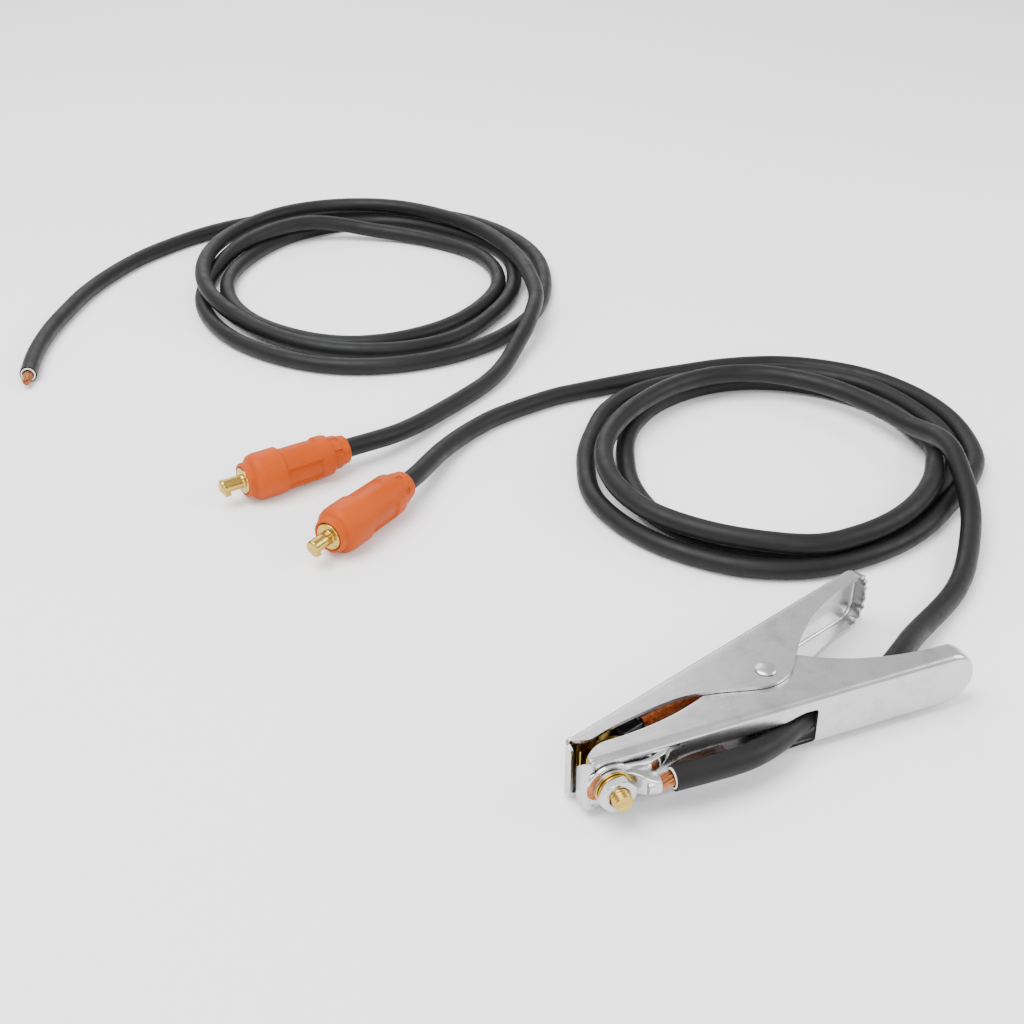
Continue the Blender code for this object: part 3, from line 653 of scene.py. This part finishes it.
def add_lip(lever, outline, side, placing):
    """The tab across the nose, bent up from the web. Its outline is (height, z)."""
    top = max(y for y, _ in outline)
    path = [(NOSE_BEND + 1.6, SHEET / 2), (NOSE_BEND, SHEET / 2)]
    radius = NOSE_BEND - SHEET / 2
    for step in range(1, 11):
        turn = math.pi / 2 * step / 10
        path.append((NOSE_BEND - radius * math.sin(turn), NOSE_BEND - radius * math.cos(turn)))
    path.append((SHEET / 2, top))
    left = []
    right = []
    for i, point in enumerate(path):
        place = Vector(point)
        along = (Vector(path[min(i + 1, len(path) - 1)]) - Vector(path[max(i - 1, 0)])).normalized()
        across = Vector((-along.y, along.x)) * SHEET / 2
        left.append(place + across)
        right.append(place - across)
    bent = [(x, side * y) for x, y in left + right[::-1]]
    points, faces = prism(bent, min(z for _, z in outline), max(z for _, z in outline), "XY")
    tab = new_piece("nose_tab", points, faces, "zinc_steel", (), None, placing)
    trim = prism(rounded([(side * y, z) for y, z in outline], 1.2), -1, NOSE_BEND + 3, "YZ")
    carve(tab, *trim, "INTERSECT", placing)
    join(lever, tab)


def join(piece, other):
    """Makes one body of two, and removes the second."""
    modifier = piece.modifiers.new("join", "BOOLEAN")
    modifier.operation = "UNION"
    modifier.object = other
    modifier.solver = "EXACT"
    settle(piece)
    spent = other.data
    bpy.data.objects.remove(other, do_unlink=True)
    bpy.data.meshes.remove(spent)


def make_cable_lever():
    def wave(run, share, z_side):
        """The drawn end swells a little where its rim is gathered."""
        near = max(0.0, min(1.0, (run - 172) / 14))
        return 0.35 * near * math.sin(share * math.pi) * share, 0.15 * near * math.sin(run * 1.1 + z_side)

    points, faces = lever_mesh(CABLE_LEVER_LENGTH, CABLE_LEVER_WIDTH, CABLE_LEVER_WIDTH / 2,
                               CABLE_LEVER_EDGE, 1, wave)
    lever = new_piece("cable_lever_pressing", points, faces, "zinc_steel", ["cable_lever"], None)
    lip = [(-0.5, 4.4), (-0.5, 29.9), (2.2, 29.4), (9.5, 22.0), (9.5, 5.6), (7.3, 4.4)]
    add_lip(lever, lip, 1, Matrix())
    window = [(38.5, 7.0), (40.0, 5.5), (112.6, 5.5), (113.5, 6.5), (113.3, 23.0), (112.3, 24.0), (106, 24.2),
              (102, 23.2), (98, 21.7), (91, 21.1), (65, 20.6), (48.3, 19.9), (41.4, 18.3), (38.5, 16.4)]
    carve(lever, *prism(rounded(window, 2.2, 5), -3, 4))
    slot_outline = [(30.2, 26.4), (31.6, 21.4), (35.9, 23.2), (44.6, 27.0), (44.0, 27.6)]
    carve(lever, *prism(rounded(slot_outline, 0.8), -3, 4))
    carve(lever, *prism(circle(BOLT, BOLT_HOLE_RADIUS), -3, 4))
    carve(lever, *prism(circle(PIVOT, RIVET_HOLE_RADIUS), -5, 45, "XY"))
    bevel(lever, WORN_EDGE)
    settle(lever)
    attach(lever, "cable_side")


def make_jaw_lever():
    def wave(run, share, z_side):
        """The rim of the drawn end is wrinkled, as thin sheet is where it gathers."""
        near = max(0.0, min(1.0, (run - 186) / 8))
        ripple = math.sin(run * 1.15 + z_side * 0.8) + 0.4 * math.sin(run * 2.1 + 1.3)
        return 0.42 * near * ripple * share ** 2, 0.3 * near * math.sin(run * 1.3 + 2.0 + z_side)

    points, faces = lever_mesh(JAW_LEVER_LENGTH, JAW_LEVER_WIDTH, JAW_END_CORNER, JAW_LEVER_EDGE, -1, wave)
    lever = new_piece("jaw_lever_pressing", points, faces, "zinc_steel", ["jaw_lever"], None, JAW_PLACING)
    lip = [(-0.5, 2.8), (-0.5, 31.5), (1.8, 31.2), (5.2, 28.4), (5.2, 5.4), (2.6, 2.8)]
    add_lip(lever, lip, -1, JAW_PLACING)
    carve(lever, *prism(circle(JAW_CONTACT_RIVET, 2.3), -4, 4), "DIFFERENCE", JAW_PLACING)
    carve(lever, *prism(circle(PIVOT, RIVET_HOLE_RADIUS), -5, 45, "XY"))
    bevel(lever, WORN_EDGE)
    settle(lever)
    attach(lever, "jaw_side")


def make_pivot():
    high = MIDDLE_Z + JAW_LEVER_WIDTH / 2 + GAP
    low = MIDDLE_Z - JAW_LEVER_WIDTH / 2 - GAP
    dome = [(high + 1.3, 0), (high + 1.27, 1.0), (high + 1.18, 2.0), (high + 1.0, 3.0), (high + 0.75, 3.9),
            (high + 0.45, 4.6), (high + 0.15, 4.95), (high, 4.95)]
    shank = [(high, RIVET_RADIUS), (low, RIVET_RADIUS)]
    tail = [(low, 4.95), (low - 0.4, 4.9), (low - 0.9, 4.4), (low - 1.2, 3.5), (low - 1.25, 1.4),
            (low - 0.9, 0.9), (low - 0.8, 0)]
    turned("pivot_rivet_formed", dome + shank + tail, (*PIVOT, 0), Matrix(), "zinc_steel", ["pivot_rivet"])


def wire(name, route, radius, look, nodes, sides=12):
    """A round wire along a route, which rides on nothing yet."""
    points = []
    for place, _, across, up in frames_along(route):
        for side in range(sides):
            turn = math.tau * side / sides
            points.append(tuple(place + across * radius * math.cos(turn) + up * radius * math.sin(turn)))
    return new_piece(name, points, capped_faces(len(route), sides), look, nodes, None, angle=50)


def make_torsion_spring():
    """The wound spring, one leg on the cable lever's web and the other on the jaw lever's."""
    low = 8.0
    high = 26.3
    turns = 5
    radius = 7.1
    steps = 36 * turns - 15
    first = math.radians(-95)
    last = first + math.radians(360 * turns - 145)
    route = [(133, 4.4, high), (126, 6.9, high)]
    for step in range(steps + 1):
        share = step / steps
        angle = first + (last - first) * share
        route.append((PIVOT[0] + radius * math.cos(angle), PIVOT[1] + radius * math.sin(angle),
                      high + (low - high) * share))
    route += [(123, 53, low), (129, 55.6, low)]
    spring = wire("torsion_spring_wound", route, 1.2, "spring_steel", ["torsion_spring"])
    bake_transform(spring)


def contact_strip(name, path, nodes, body, placing=Matrix()):
    """A jaw's brass strip, bent along a path seen on its edge, with its edges rounded."""
    low = MIDDLE_Z - CONTACT_HALF_WIDTH
    high = MIDDLE_Z + CONTACT_HALF_WIDTH
    places = [Vector((point[0], point[1])) for point in path]
    left = []
    right = []
    for i, place in enumerate(places):
        along = (places[min(i + 1, len(places) - 1)] - places[max(i - 1, 0)]).normalized()
        across = Vector((-along.y, along.x)) * CONTACT_SHEET / 2
        left.append(tuple(place + across))
        right.append(tuple(place - across))
    piece = new_piece(name, *prism(left + right[::-1], low, high, "XY"), "brass", nodes, None, placing)
    bevel(piece, 0.22, 2, 60)
    settle(piece)
    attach(piece, body)


def smooth_path(points, spacing=0.8):
    return [(x, y) for x, y, _ in curve_through([(x, y, 0) for x, y in points], spacing)]


def make_contacts():
    arch = smooth_path([(4.0, 2.6), (3.3, 6.2), (7.2, 10.6), (12.1, 13.9), (16.6, 15.4), (20.5, 15.4),
                        (24.5, 13.0), (27.6, 8.2), (28.6, 2.6)])
    contact_strip("cable_side_contact_strip", arch, ["cable_side_contact"], "cable_side")
    folded = smooth_path([(4.4, -6.9), (4.5, -4.6), (5.4, -3.4), (7.2, -2.9), (14, -2.7), (22, -2.7),
                          (26, -2.8)])
    contact_strip("jaw_side_contact_strip", folded, ["jaw_side_contact"], "jaw_side", JAW_PLACING)


def make_terminal():
    """The stack on the terminal bolt, from the braid's clip out to the nut, y being the next free face."""
    y = -(GAP + CLIP_THICKNESS + GAP)
    make_lug(y)
    y -= LUG_SHEET + GAP
    stand = Matrix.Rotation(-math.pi / 2, 4, "X")
    place = (BOLT[0], 0, BOLT[1])
    back = y - WASHER_SHEET
    inner = BOLT_HOLE_RADIUS
    washer = rounded([(y, inner), (y, 8.4), (back, 8.4), (back, inner)], 0.25, 3)
    turned("flat_washer_pressed", washer, place, stand, "brass", ["flat_washer"], closed=True)
    y -= WASHER_SHEET + GAP
    make_spring_washer(y)
    y -= SPRING_WASHER_SHEET + GAP
    make_nut(y, place, stand)
    make_bolt(y, place, stand)


def make_spring_washer(y):
    """A split ring of square wire, its ends sprung a little apart."""
    half = SPRING_WASHER_SHEET / 2
    section = rounded([(4.75, half), (7.75, half), (7.75, -half), (4.75, -half)], 0.25, 3)
    steps = 60
    points = []
    for step in range(steps + 1):
        share = step / steps
        turn = math.radians(42 + 346 * share)
        lift = 0.25 * (share - 0.5)
        for radius, up in section:
            points.append((BOLT[0] + radius * math.cos(turn), y - half + up * 0.85 - lift,
                           BOLT[1] + radius * math.sin(turn)))
    faces = capped_faces(steps + 1, len(section))
    new_piece("spring_washer_split", points, faces, "brass", ["spring_washer"])


def make_nut(y, place, stand):
    flat = NUT_RADIUS * math.cos(math.pi / 6)
    height = NUT_HEIGHT

    def hexagon(along, radius, theta):
        """Six flats, with the corners turned down at both ends."""
        if radius < BOLT_RADIUS + 1.2:
            return radius
        part = (theta + math.radians(12)) % (math.pi / 3) - math.pi / 6
        end = min(y - along, height - (y - along))
        return min(flat / math.cos(part), flat * 0.985 + end * 1.9)

    near = [0.0, 0.12, 0.3, 0.5, 0.75, 1.0]
    levels = near + [height / 2] + [height - level for level in near[::-1]]
    profile = [(y, BOLT_RADIUS + 0.2), (y, BOLT_RADIUS + 0.9)]
    profile += [(y - level, NUT_RADIUS) for level in levels]
    profile += [(y - height, BOLT_RADIUS + 0.9), (y - height + 0.6, BOLT_RADIUS + 0.2)]
    turned("terminal_nut_chamfered", profile, place, stand, "zinc_steel", ["terminal_nut"], steps=96,
           shape=hexagon, closed=True, angle=28)


def make_bolt(y, place, stand):
    end = y - BOLT_PAST_WASHER
    thread_start = -2.0

    def thread(along, radius, theta):
        """A cut thread that runs out at the bolt's chamfered end."""
        if along > thread_start or radius < BOLT_RADIUS - 0.01:
            return radius
        turn = (along / THREAD_PITCH + theta / math.tau) % 1.0
        cut = THREAD_DEPTH * max(0.0, 1 - abs(turn - 0.5) * 2.6)
        return min(radius - cut, BOLT_RADIUS - 0.45 + (along - end) * 1.0)

    profile = [(5.6, 0), (5.6, 5.4), (5.3, 5.9), (2.2, 6.3), (1.8, 6.3), (1.8, BOLT_RADIUS)]
    profile += [(along, BOLT_RADIUS) for along in np.arange(thread_start, end, -0.13)]
    profile += [(end, BOLT_RADIUS - 0.6), (end, 1.0), (end + 0.25, 0.6), (end + 0.45, 0)]
    turned("terminal_bolt_threaded", profile, place, stand, "brass", ["terminal_bolt"], shape=thread,
           angle=60)


def make_lug(y):
    """The pressed lug: a flat eye under the nut that is drawn out into the barrel round the conductor."""
    # Each station is (x, middle y, half height, half width, corner).
    stations = []
    for x in np.arange(2.6, 17.5, 0.5):
        half = math.sqrt(max(0.3, LUG_EYE_RADIUS ** 2 - (x - BOLT[0]) ** 2))
        stations.append((x, y - LUG_SHEET / 2, LUG_SHEET / 2, half, 0.35))
    stations += [
        (17.8, -2.45, 0.65, 5.8, 0.5), (19.0, -2.75, 1.0, 5.7, 0.8), (20.5, -3.5, 1.8, 5.6, 1.1),
        (22.0, -4.4, 2.6, 5.4, 1.5), (23.5, -5.3, 3.3, 5.2, 1.9), (25.5, -6.2, 3.9, 4.8, 2.5),
        (27.5, -6.9, 4.3, 4.5, 2.9), (29.7, -7.3, 4.4, 4.35, 3.2), (30.0, -7.3, 4.2, 4.15, 3.2),
        (30.0, -7.6, 3.8, 3.8, 3.75), (24.0, -7.6, 3.75, 3.75, 3.7),
    ]
    points = []
    steps = 12
    for x, centre_y, half_y, half_z, corner in stations:
        corner = min(corner, half_y, half_z) * 0.98
        for quarter, (sy, sz) in enumerate(((1, 1), (-1, 1), (-1, -1), (1, -1))):
            for step in range(steps):
                turn = math.pi / 2 * (quarter + step / (steps - 1))
                points.append((x, centre_y + sy * (half_y - corner) + corner * math.cos(turn),
                               MIDDLE_Z + sz * (half_z - corner) + corner * math.sin(turn)))
    faces = capped_faces(len(stations), 4 * steps)
    lug = new_piece("cable_lug_pressed", points, faces, "zinc_steel", ["cable_lug"], None)
    carve(lug, *prism(circle(BOLT, BOLT_HOLE_RADIUS), y - 4, y + 2))
    bevel(lug, 0.2, 2, 50)
    settle(lug)
    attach(lug, "cable_side")


def make_braid_clip():
    """The thin steel sheath folded round the braid, which comes out of the slot and lies under the bolt."""
    route = [(42.5, 3.6, 25.6), (39.0, 1.8, 24.9), (35.0, -0.3, 23.6), (30.5, -1.7, 22.0), (26.0, -1.9, 20.6),
             (21.0, -1.5, 19.2), (16.0, -1.05, 18.0), (11.0, -0.92, 17.15), (6.0, -0.9, 17.0),
             (1.6, -0.9, 16.9)]
    # Each section is (share of the way, half width, half thickness).
    sections = np.array([(0.0, 3.2, 1.6), (0.18, 3.3, 1.5), (0.3, 4.2, 1.2), (0.42, 5.6, 0.95),
                         (0.6, 8.0, 0.7), (0.75, 9.4, 0.56), (0.9, 9.2, 0.56), (1.0, 8.0, 0.56)])
    places = frames_along(curve_through(route, 0.7))
    points = []
    steps = 64
    for i, (place, _, across, up) in enumerate(places):
        share = i / (len(places) - 1)
        half_width = np.interp(share, sections[:, 0], sections[:, 1])
        half_thick = np.interp(share, sections[:, 0], sections[:, 2])
        for step in range(steps):
            turn = math.tau * step / steps
            c = math.copysign(abs(math.cos(turn)) ** 0.5, math.cos(turn))
            s = math.copysign(abs(math.sin(turn)) ** 0.5, math.sin(turn))
            crease = 0.32 * math.sin(c * 9 + share * 7) * math.sin(share * 22 + c * 3) * (1 - share * 0.4)
            crease += 0.18 * math.sin(c * 17 - share * 31)
            crease *= np.interp(share, (0.0, 0.4, 0.7, 1.0), (1.0, 0.8, 0.12, 0.12))
            side = across * (half_thick * s + crease * (1 if s < 0 else 0.2) * -0.8)
            points.append(tuple(place + up * half_width * c + side))
    faces = capped_faces(len(places), steps)
    clip = new_piece("braid_clip_creased", points, faces, "bright_steel", ["braid_clip"], None,
                     slot="zinc_steel", angle=60)
    carve(clip, *prism(circle(BOLT, BOLT_HOLE_RADIUS), -6, 2))
    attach(clip, "cable_side")


def strand_bundle(name, start, along, length, strand, nodes, taper=0.0, fray=0.0, twist=1.2):
    """A stranded conductor: wires laid round each other, each cut a little short or long."""
    count = 61
    radius = 3.6
    across = along.cross(Vector((0, 0, 1))).normalized()
    up = across.cross(along)
    points = []
    faces = []
    sides = 6
    golden = math.pi * (3 - math.sqrt(5))
    for wire in range(count):
        ring = (radius - strand) * math.sqrt((wire + 0.5) / count)
        angle = wire * golden
        reach = length + fray * SEED.uniform(-1, 0.6)
        drift = SEED.uniform(-0.5, 0.5)
        steps = 9
        first = len(points)
        for step in range(steps + 1):
            share = step / steps
            r = ring * (1 - taper * share ** 2)
            turn = angle + twist * share + drift * fray * 0.3 * share ** 2
            centre = start + along * reach * share + across * r * math.cos(turn) + up * r * math.sin(turn)
            size = strand * (0.55 if step == steps else 1.0)
            for side in range(sides):
                a = math.tau * side / sides
                points.append(tuple(centre + across * size * math.cos(a) + up * size * math.sin(a)))
        faces += grid_faces(steps + 1, sides, True, first)
        faces.append(tuple(range(len(points) - sides, len(points))))
        faces.append(tuple(range(first, first + sides)))
    new_piece(name, points, faces, "copper", nodes, angle=50)


def make_conductors():
    start = Vector((24.4, *LUG_AXIS))
    strand_bundle("lug_conductor_strands", start, Vector((1, 0, 0)), 12.4, 0.52, ["lug_conductor"])
    liner = rounded([(0, 3.9), (0, 4.75), (0.9, 4.75), (0.9, 3.9)], 0.15, 3)
    place = (JACKET_END_X - 0.5, *LUG_AXIS)
    turned("lug_cable_liner_ring", liner, place, Matrix.Rotation(math.pi / 2, 4, "Y"), "white_liner",
           ["lug_cable_liner"], closed=True)
    end = Vector(ELECTRODE_TAIL[0])
    along = (end - Vector(ELECTRODE_TAIL[1])).normalized()
    strand_bundle("electrode_end_strands", end - along, along, 11.6, 0.5, ["electrode_bare_conductor"],
                  taper=0.22, fray=1.3, twist=1.0)
    turned("electrode_end_liner_ring", liner, tuple(end), along.to_track_quat("Z", "Y").to_matrix().to_4x4(),
           "white_liner", ["electrode_end_liner"], closed=True)


def make_braid():
    """The flat copper braid: wires that wind both ways round a flattened tube, over and under each other."""
    route = curve_through([(37.8, 23.6, 20.0), (50, 26.0, 20.5), (64, 27.0, 21), (76, 25.0, 21),
                           (83.5, 17.0, 21.5), (76, 9.4, 22), (60, 6.8, 22.5), (50, 5.9, 23.4),
                           (44.5, 5.0, 24.4)], 0.8)
    places = frames_along(route)
    half_thick = 2.3
    half_width = 5.4
    carriers = 14
    turns = 7.0
    points = []
    faces = []
    sides = 5
    for way in (1, -1):
        for carrier in range(carriers):
            for twin in (-1, 0, 1):
                first = len(points)
                rough = SEED.uniform(-0.08, 0.12)
                for i, (place, _, across, up) in enumerate(places):
                    share = i / (len(places) - 1)
                    turn = way * (math.tau * (carrier / carriers + turns * share)) + twin * 0.1
                    weave = 0.34 * math.sin(carriers * (turn - way * math.tau * carrier / carriers) / 2
                                            + carrier * math.pi) * way
                    swell = 1 + (weave + rough) / half_thick * 0.8
                    c = math.cos(turn)
                    s = math.sin(turn)
                    centre = (place + across * (half_thick * s) * swell
                              + up * half_width * c * (1 + weave * 0.06))
                    for side in range(sides):
                        a = math.tau * side / sides
                        points.append(tuple(centre + across * BRAID_WIRE_RADIUS * math.cos(a)
                                            + up * BRAID_WIRE_RADIUS * math.sin(a)))
                faces += grid_faces(len(places), sides, True, first)
    # The wires wear the copper painted lighter, painted light against the shade the braid lies in.
    braid = new_piece("copper_braid_woven", points, faces, "braid_copper", ["copper_braid"], None,
                      slot="copper", angle=60)
    # A solid core in darkened copper fills the flattened tube: painted shade, standing for the shade inside
    # the braid between its wires.
    core = []
    core_sides = 20
    inset = 0.5
    for place, _, across, up in places:
        for step in range(core_sides):
            turn = math.tau * step / core_sides
            core.append(tuple(place + across * (half_thick - inset) * math.sin(turn)
                              + up * (half_width - inset) * math.cos(turn)))
    core_faces = capped_faces(len(places), core_sides)
    inner = new_piece("copper_braid_painted_shade_core", core, core_faces, "dark_copper", (), None, slot="copper")
    for piece in (braid, inner):
        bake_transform(piece)


def make_ferrule():
    """The braid's crimped ferrule in the jaw lever, and the rivet that holds the jaw's contact."""
    box = rounded([(27.5, -9.6), (39.0, -9.6), (39.0, -2.0), (27.5, -2.0)], 0.8)
    piece = new_piece("braid_ferrule_crimped", *prism(box, 10.0, 25.5, "XY"), "spring_steel",
                      ["braid_ferrule"], None, JAW_PLACING)
    bevel(piece, 0.7, 3, 50)
    settle(piece)
    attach(piece, "jaw_side")
    head = [(0.9, 0), (0.9, 1.6), (0.4, 2.1), (-0.4, 2.1), (-2.0, 2.1), (-3.9, 2.1), (-4.4, 1.6), (-4.5, 0)]
    place = Matrix.Translation((JAW_CONTACT_RIVET[0], 0, JAW_CONTACT_RIVET[1]))
    turn = JAW_PLACING @ place @ Matrix.Rotation(-math.pi / 2, 4, "X")
    turned("contact_rivet_formed", head, (0, 0, 0), turn, "brass", ["contact_rivet"], "jaw_side", 32)


def make_braid_end():
    """The braid's cut end, flattened round the bolt inside the fold of its sheath."""
    points = []
    faces = []
    sides = 6
    steps = 26
    rings = 10
    for wire in range(rings * 2):
        ring = wire % rings
        way = 1 if wire < rings else -1
        first = len(points)
        start = 128 + SEED.uniform(-3, 3)
        end = 232 - 1.6 * abs(ring - 3) + SEED.uniform(-4, 4)
        for step in range(steps + 1):
            share = step / steps
            turn = math.radians(start + (end - start) * share)
            weave = math.sin(share * 20 + way * ring * 2.1)
            belly = math.sin(share * math.pi) ** 0.6
            radius = 7.9 + 3.5 * belly * (ring + 0.5) / rings + 0.14 * way * weave
            centre = Vector((BOLT[0] + radius * math.cos(turn), -1.25 - 0.25 * way * weave - 0.25 * belly,
                             BOLT[1] + radius * math.sin(turn)))
            for side in range(sides):
                a = math.tau * side / sides
                out = Vector((math.cos(turn), 0, math.sin(turn))) * BRAID_WIRE_RADIUS * math.cos(a)
                points.append(tuple(centre + out + Vector((0, BRAID_WIRE_RADIUS * math.sin(a), 0))))
        faces += grid_faces(steps + 1, sides, True, first)
        faces.append(tuple(range(len(points) - sides, len(points))))
        faces.append(tuple(range(first, first + sides)))
    new_piece("braid_end_wires", points, faces, "copper", (), slot="copper", angle=60)


def make_sheath_fold():
    """The sheath's open edge, which curls up round the bolt on the side away from the cable."""
    points = []
    steps = 40
    section = 8
    for step in range(steps + 1):
        share = step / steps
        turn = math.radians(52 + 128 * share)
        radius = 10.9 + 0.5 * math.sin(share * math.pi) + 0.12 * math.sin(share * 17)
        reach = 0.95 * math.sin(math.pi * min(1.0, 0.08 + share * 0.92)) ** 0.5 + 0.12
        for j in range(section):
            bend = math.tau * j / section
            r = radius + reach * math.cos(bend)
            y = -1.35 + 0.75 * math.sin(bend) * (0.6 + 0.4 * math.sin(share * math.pi))
            points.append((BOLT[0] + r * math.cos(turn), y, BOLT[1] + r * math.sin(turn) * 0.9))
    faces = capped_faces(steps + 1, section)
    new_piece("braid_sheath_fold", points, faces, "bright_steel", (), slot="zinc_steel", angle=60)


def make_plug(lead):
    """A bayonet cable plug: the moulded sleeve, and the brass body with its pin and key."""
    tip = (*PLUGS[lead]["tip"], PLUG_AXIS_Z)
    turn = Matrix.Rotation(PLUGS[lead]["turn"], 4, "Z") @ Matrix.Rotation(math.pi / 2, 4, "Y")
    profile = [
        (PLUG_LENGTH, 6.1), (PLUG_LENGTH, 7.6), (79.8, 8.5), (77.4, 8.9), (74.9, 9.1), (74.5, 9.9),
        (68.8, 10.3), (68.3, 11.9), (66.5, 12.35), (62.0, 12.4), (61.2, 12.4), (59.5, 12.45), (48, 12.6),
        (38.4, 12.75), (37.3, 12.8), (36.7, PLUG_AXIS_Z), (35.9, PLUG_AXIS_Z), (23.4, PLUG_AXIS_Z),
        (20.4, 13.1), (18.7, 11.4), (18.2, 10.3), (17.4, 10.25), (14.8, 10.2), (14.0, 9.7), (13.9, 8.4),
        (14.6, 8.1), (27.0, 8.1), (27.0, 7.2), (62.5, 7.2), (62.5, 6.1),
    ]
    fine = []
    for point, following in zip(profile, profile[1:]):
        steps = max(1, round(abs(following[0] - point[0]) / 1.2))
        fine += [tuple(np.array(point) + (np.array(following) - np.array(point)) * step / steps)
                 for step in range(steps)]
    fine.append(profile[-1])
    fine = rounded(fine, 0.35, 3)
    middle = PLUGS[lead]["raised"]

    def grip(along, radius, theta):
        """Three sunk panels between three raised ones, and small slots in the tail."""
        if radius < 8.2:
            return radius
        sector = math.cos(3 * (theta - middle))
        sunk = max(0.0, min(1.0, (0.04 - sector) / 0.07))
        ends = max(0.0, min(1.0, (along - 38.0) / 0.7)) * max(0.0, min(1.0, (61.0 - along) / 1.6))
        radius -= 1.25 * sunk * ends * (1 + 0.2 * max(0.0, -sector))
        radius += 0.15 * max(0.0, 1 - abs(sector - 0.16) / 0.07) * ends
        if 69.4 < along < 73.8:
            for slot in (-26, 26, 154, 206):
                near = abs(math.remainder(theta - middle - math.radians(slot), math.tau))
                radius -= 0.9 * max(0.0, min(1.0, (0.16 - near) / 0.03))
        return radius

    turned(lead + "_plug_sleeve_moulded", fine, tip, turn, "orange_rubber", [lead + "_plug_sleeve"],
           steps=180, shape=grip, closed=True, angle=40)

    def key(along, radius, theta):
        """The bayonet key under the pin's tip, and a shallow groove along the pin."""
        if radius > 4.5 or radius < 3.0:
            return radius
        near = abs(math.remainder(theta, math.tau))
        if 1.9 < along < 5.7 and near < 0.34:
            return 6.4 if 2.1 < along < 5.5 else radius
        groove = max(0.0, 1 - abs(math.remainder(theta - math.radians(205), math.tau)) / 0.07)
        return radius - 0.08 * groove

    body = [(0.0, 0), (0.0, 3.0), (0.25, 3.55), (0.8, 3.95)]
    body += [(along, 4.0) for along in (1.9, 2.0, 2.15, 2.3, 3, 4, 5, 5.3, 5.45, 5.6, 5.7, 8, 10, 12, 13.2)]
    body += [(13.5, 4.25), (13.5, 7.2), (13.65, 7.55), (14.0, 7.75), (26.6, 7.8), (26.6, 6.8), (60.0, 6.8),
             (60.0, 0)]
    turned(lead + "_plug_body_turned", body, tip, turn, "brass", [lead + "_plug_body"], steps=96, shape=key,
           angle=40)


make_camera()
make_studio()
dress_cad_nodes()
electrode_points = plug_axis_places("electrode") + ELECTRODE_FEED + coil_route("electrode")
electrode_points += ELECTRODE_TAIL[::-1]
earth_points = EARTH_RUN + coil_route("earth") + EARTH_FEED[::-1] + plug_axis_places("earth")[::-1]
electrode_cable, electrode_length = cable_curve("electrode_cable", electrode_points)
earth_cable, earth_length = cable_curve("earth_cable", earth_points)
for cable, pieces in (
    (electrode_cable, ("electrode_feed_cable", "electrode_cable_coil", "electrode_tail_cable")),
    (earth_cable, ("earth_feed_cable", "earth_cable_coil", "earth_clamp_cable")),
):
    wear(cable, "cable_rubber")
    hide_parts(*pieces)
    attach(cable, "cable_side")

make_cable_lever()
make_jaw_lever()
make_pivot()
make_torsion_spring()
make_contacts()
make_terminal()
make_braid_clip()
make_braid()
make_ferrule()
make_braid_end()
make_sheath_fold()
make_conductors()
for lead in PLUGS:
    make_plug(lead)
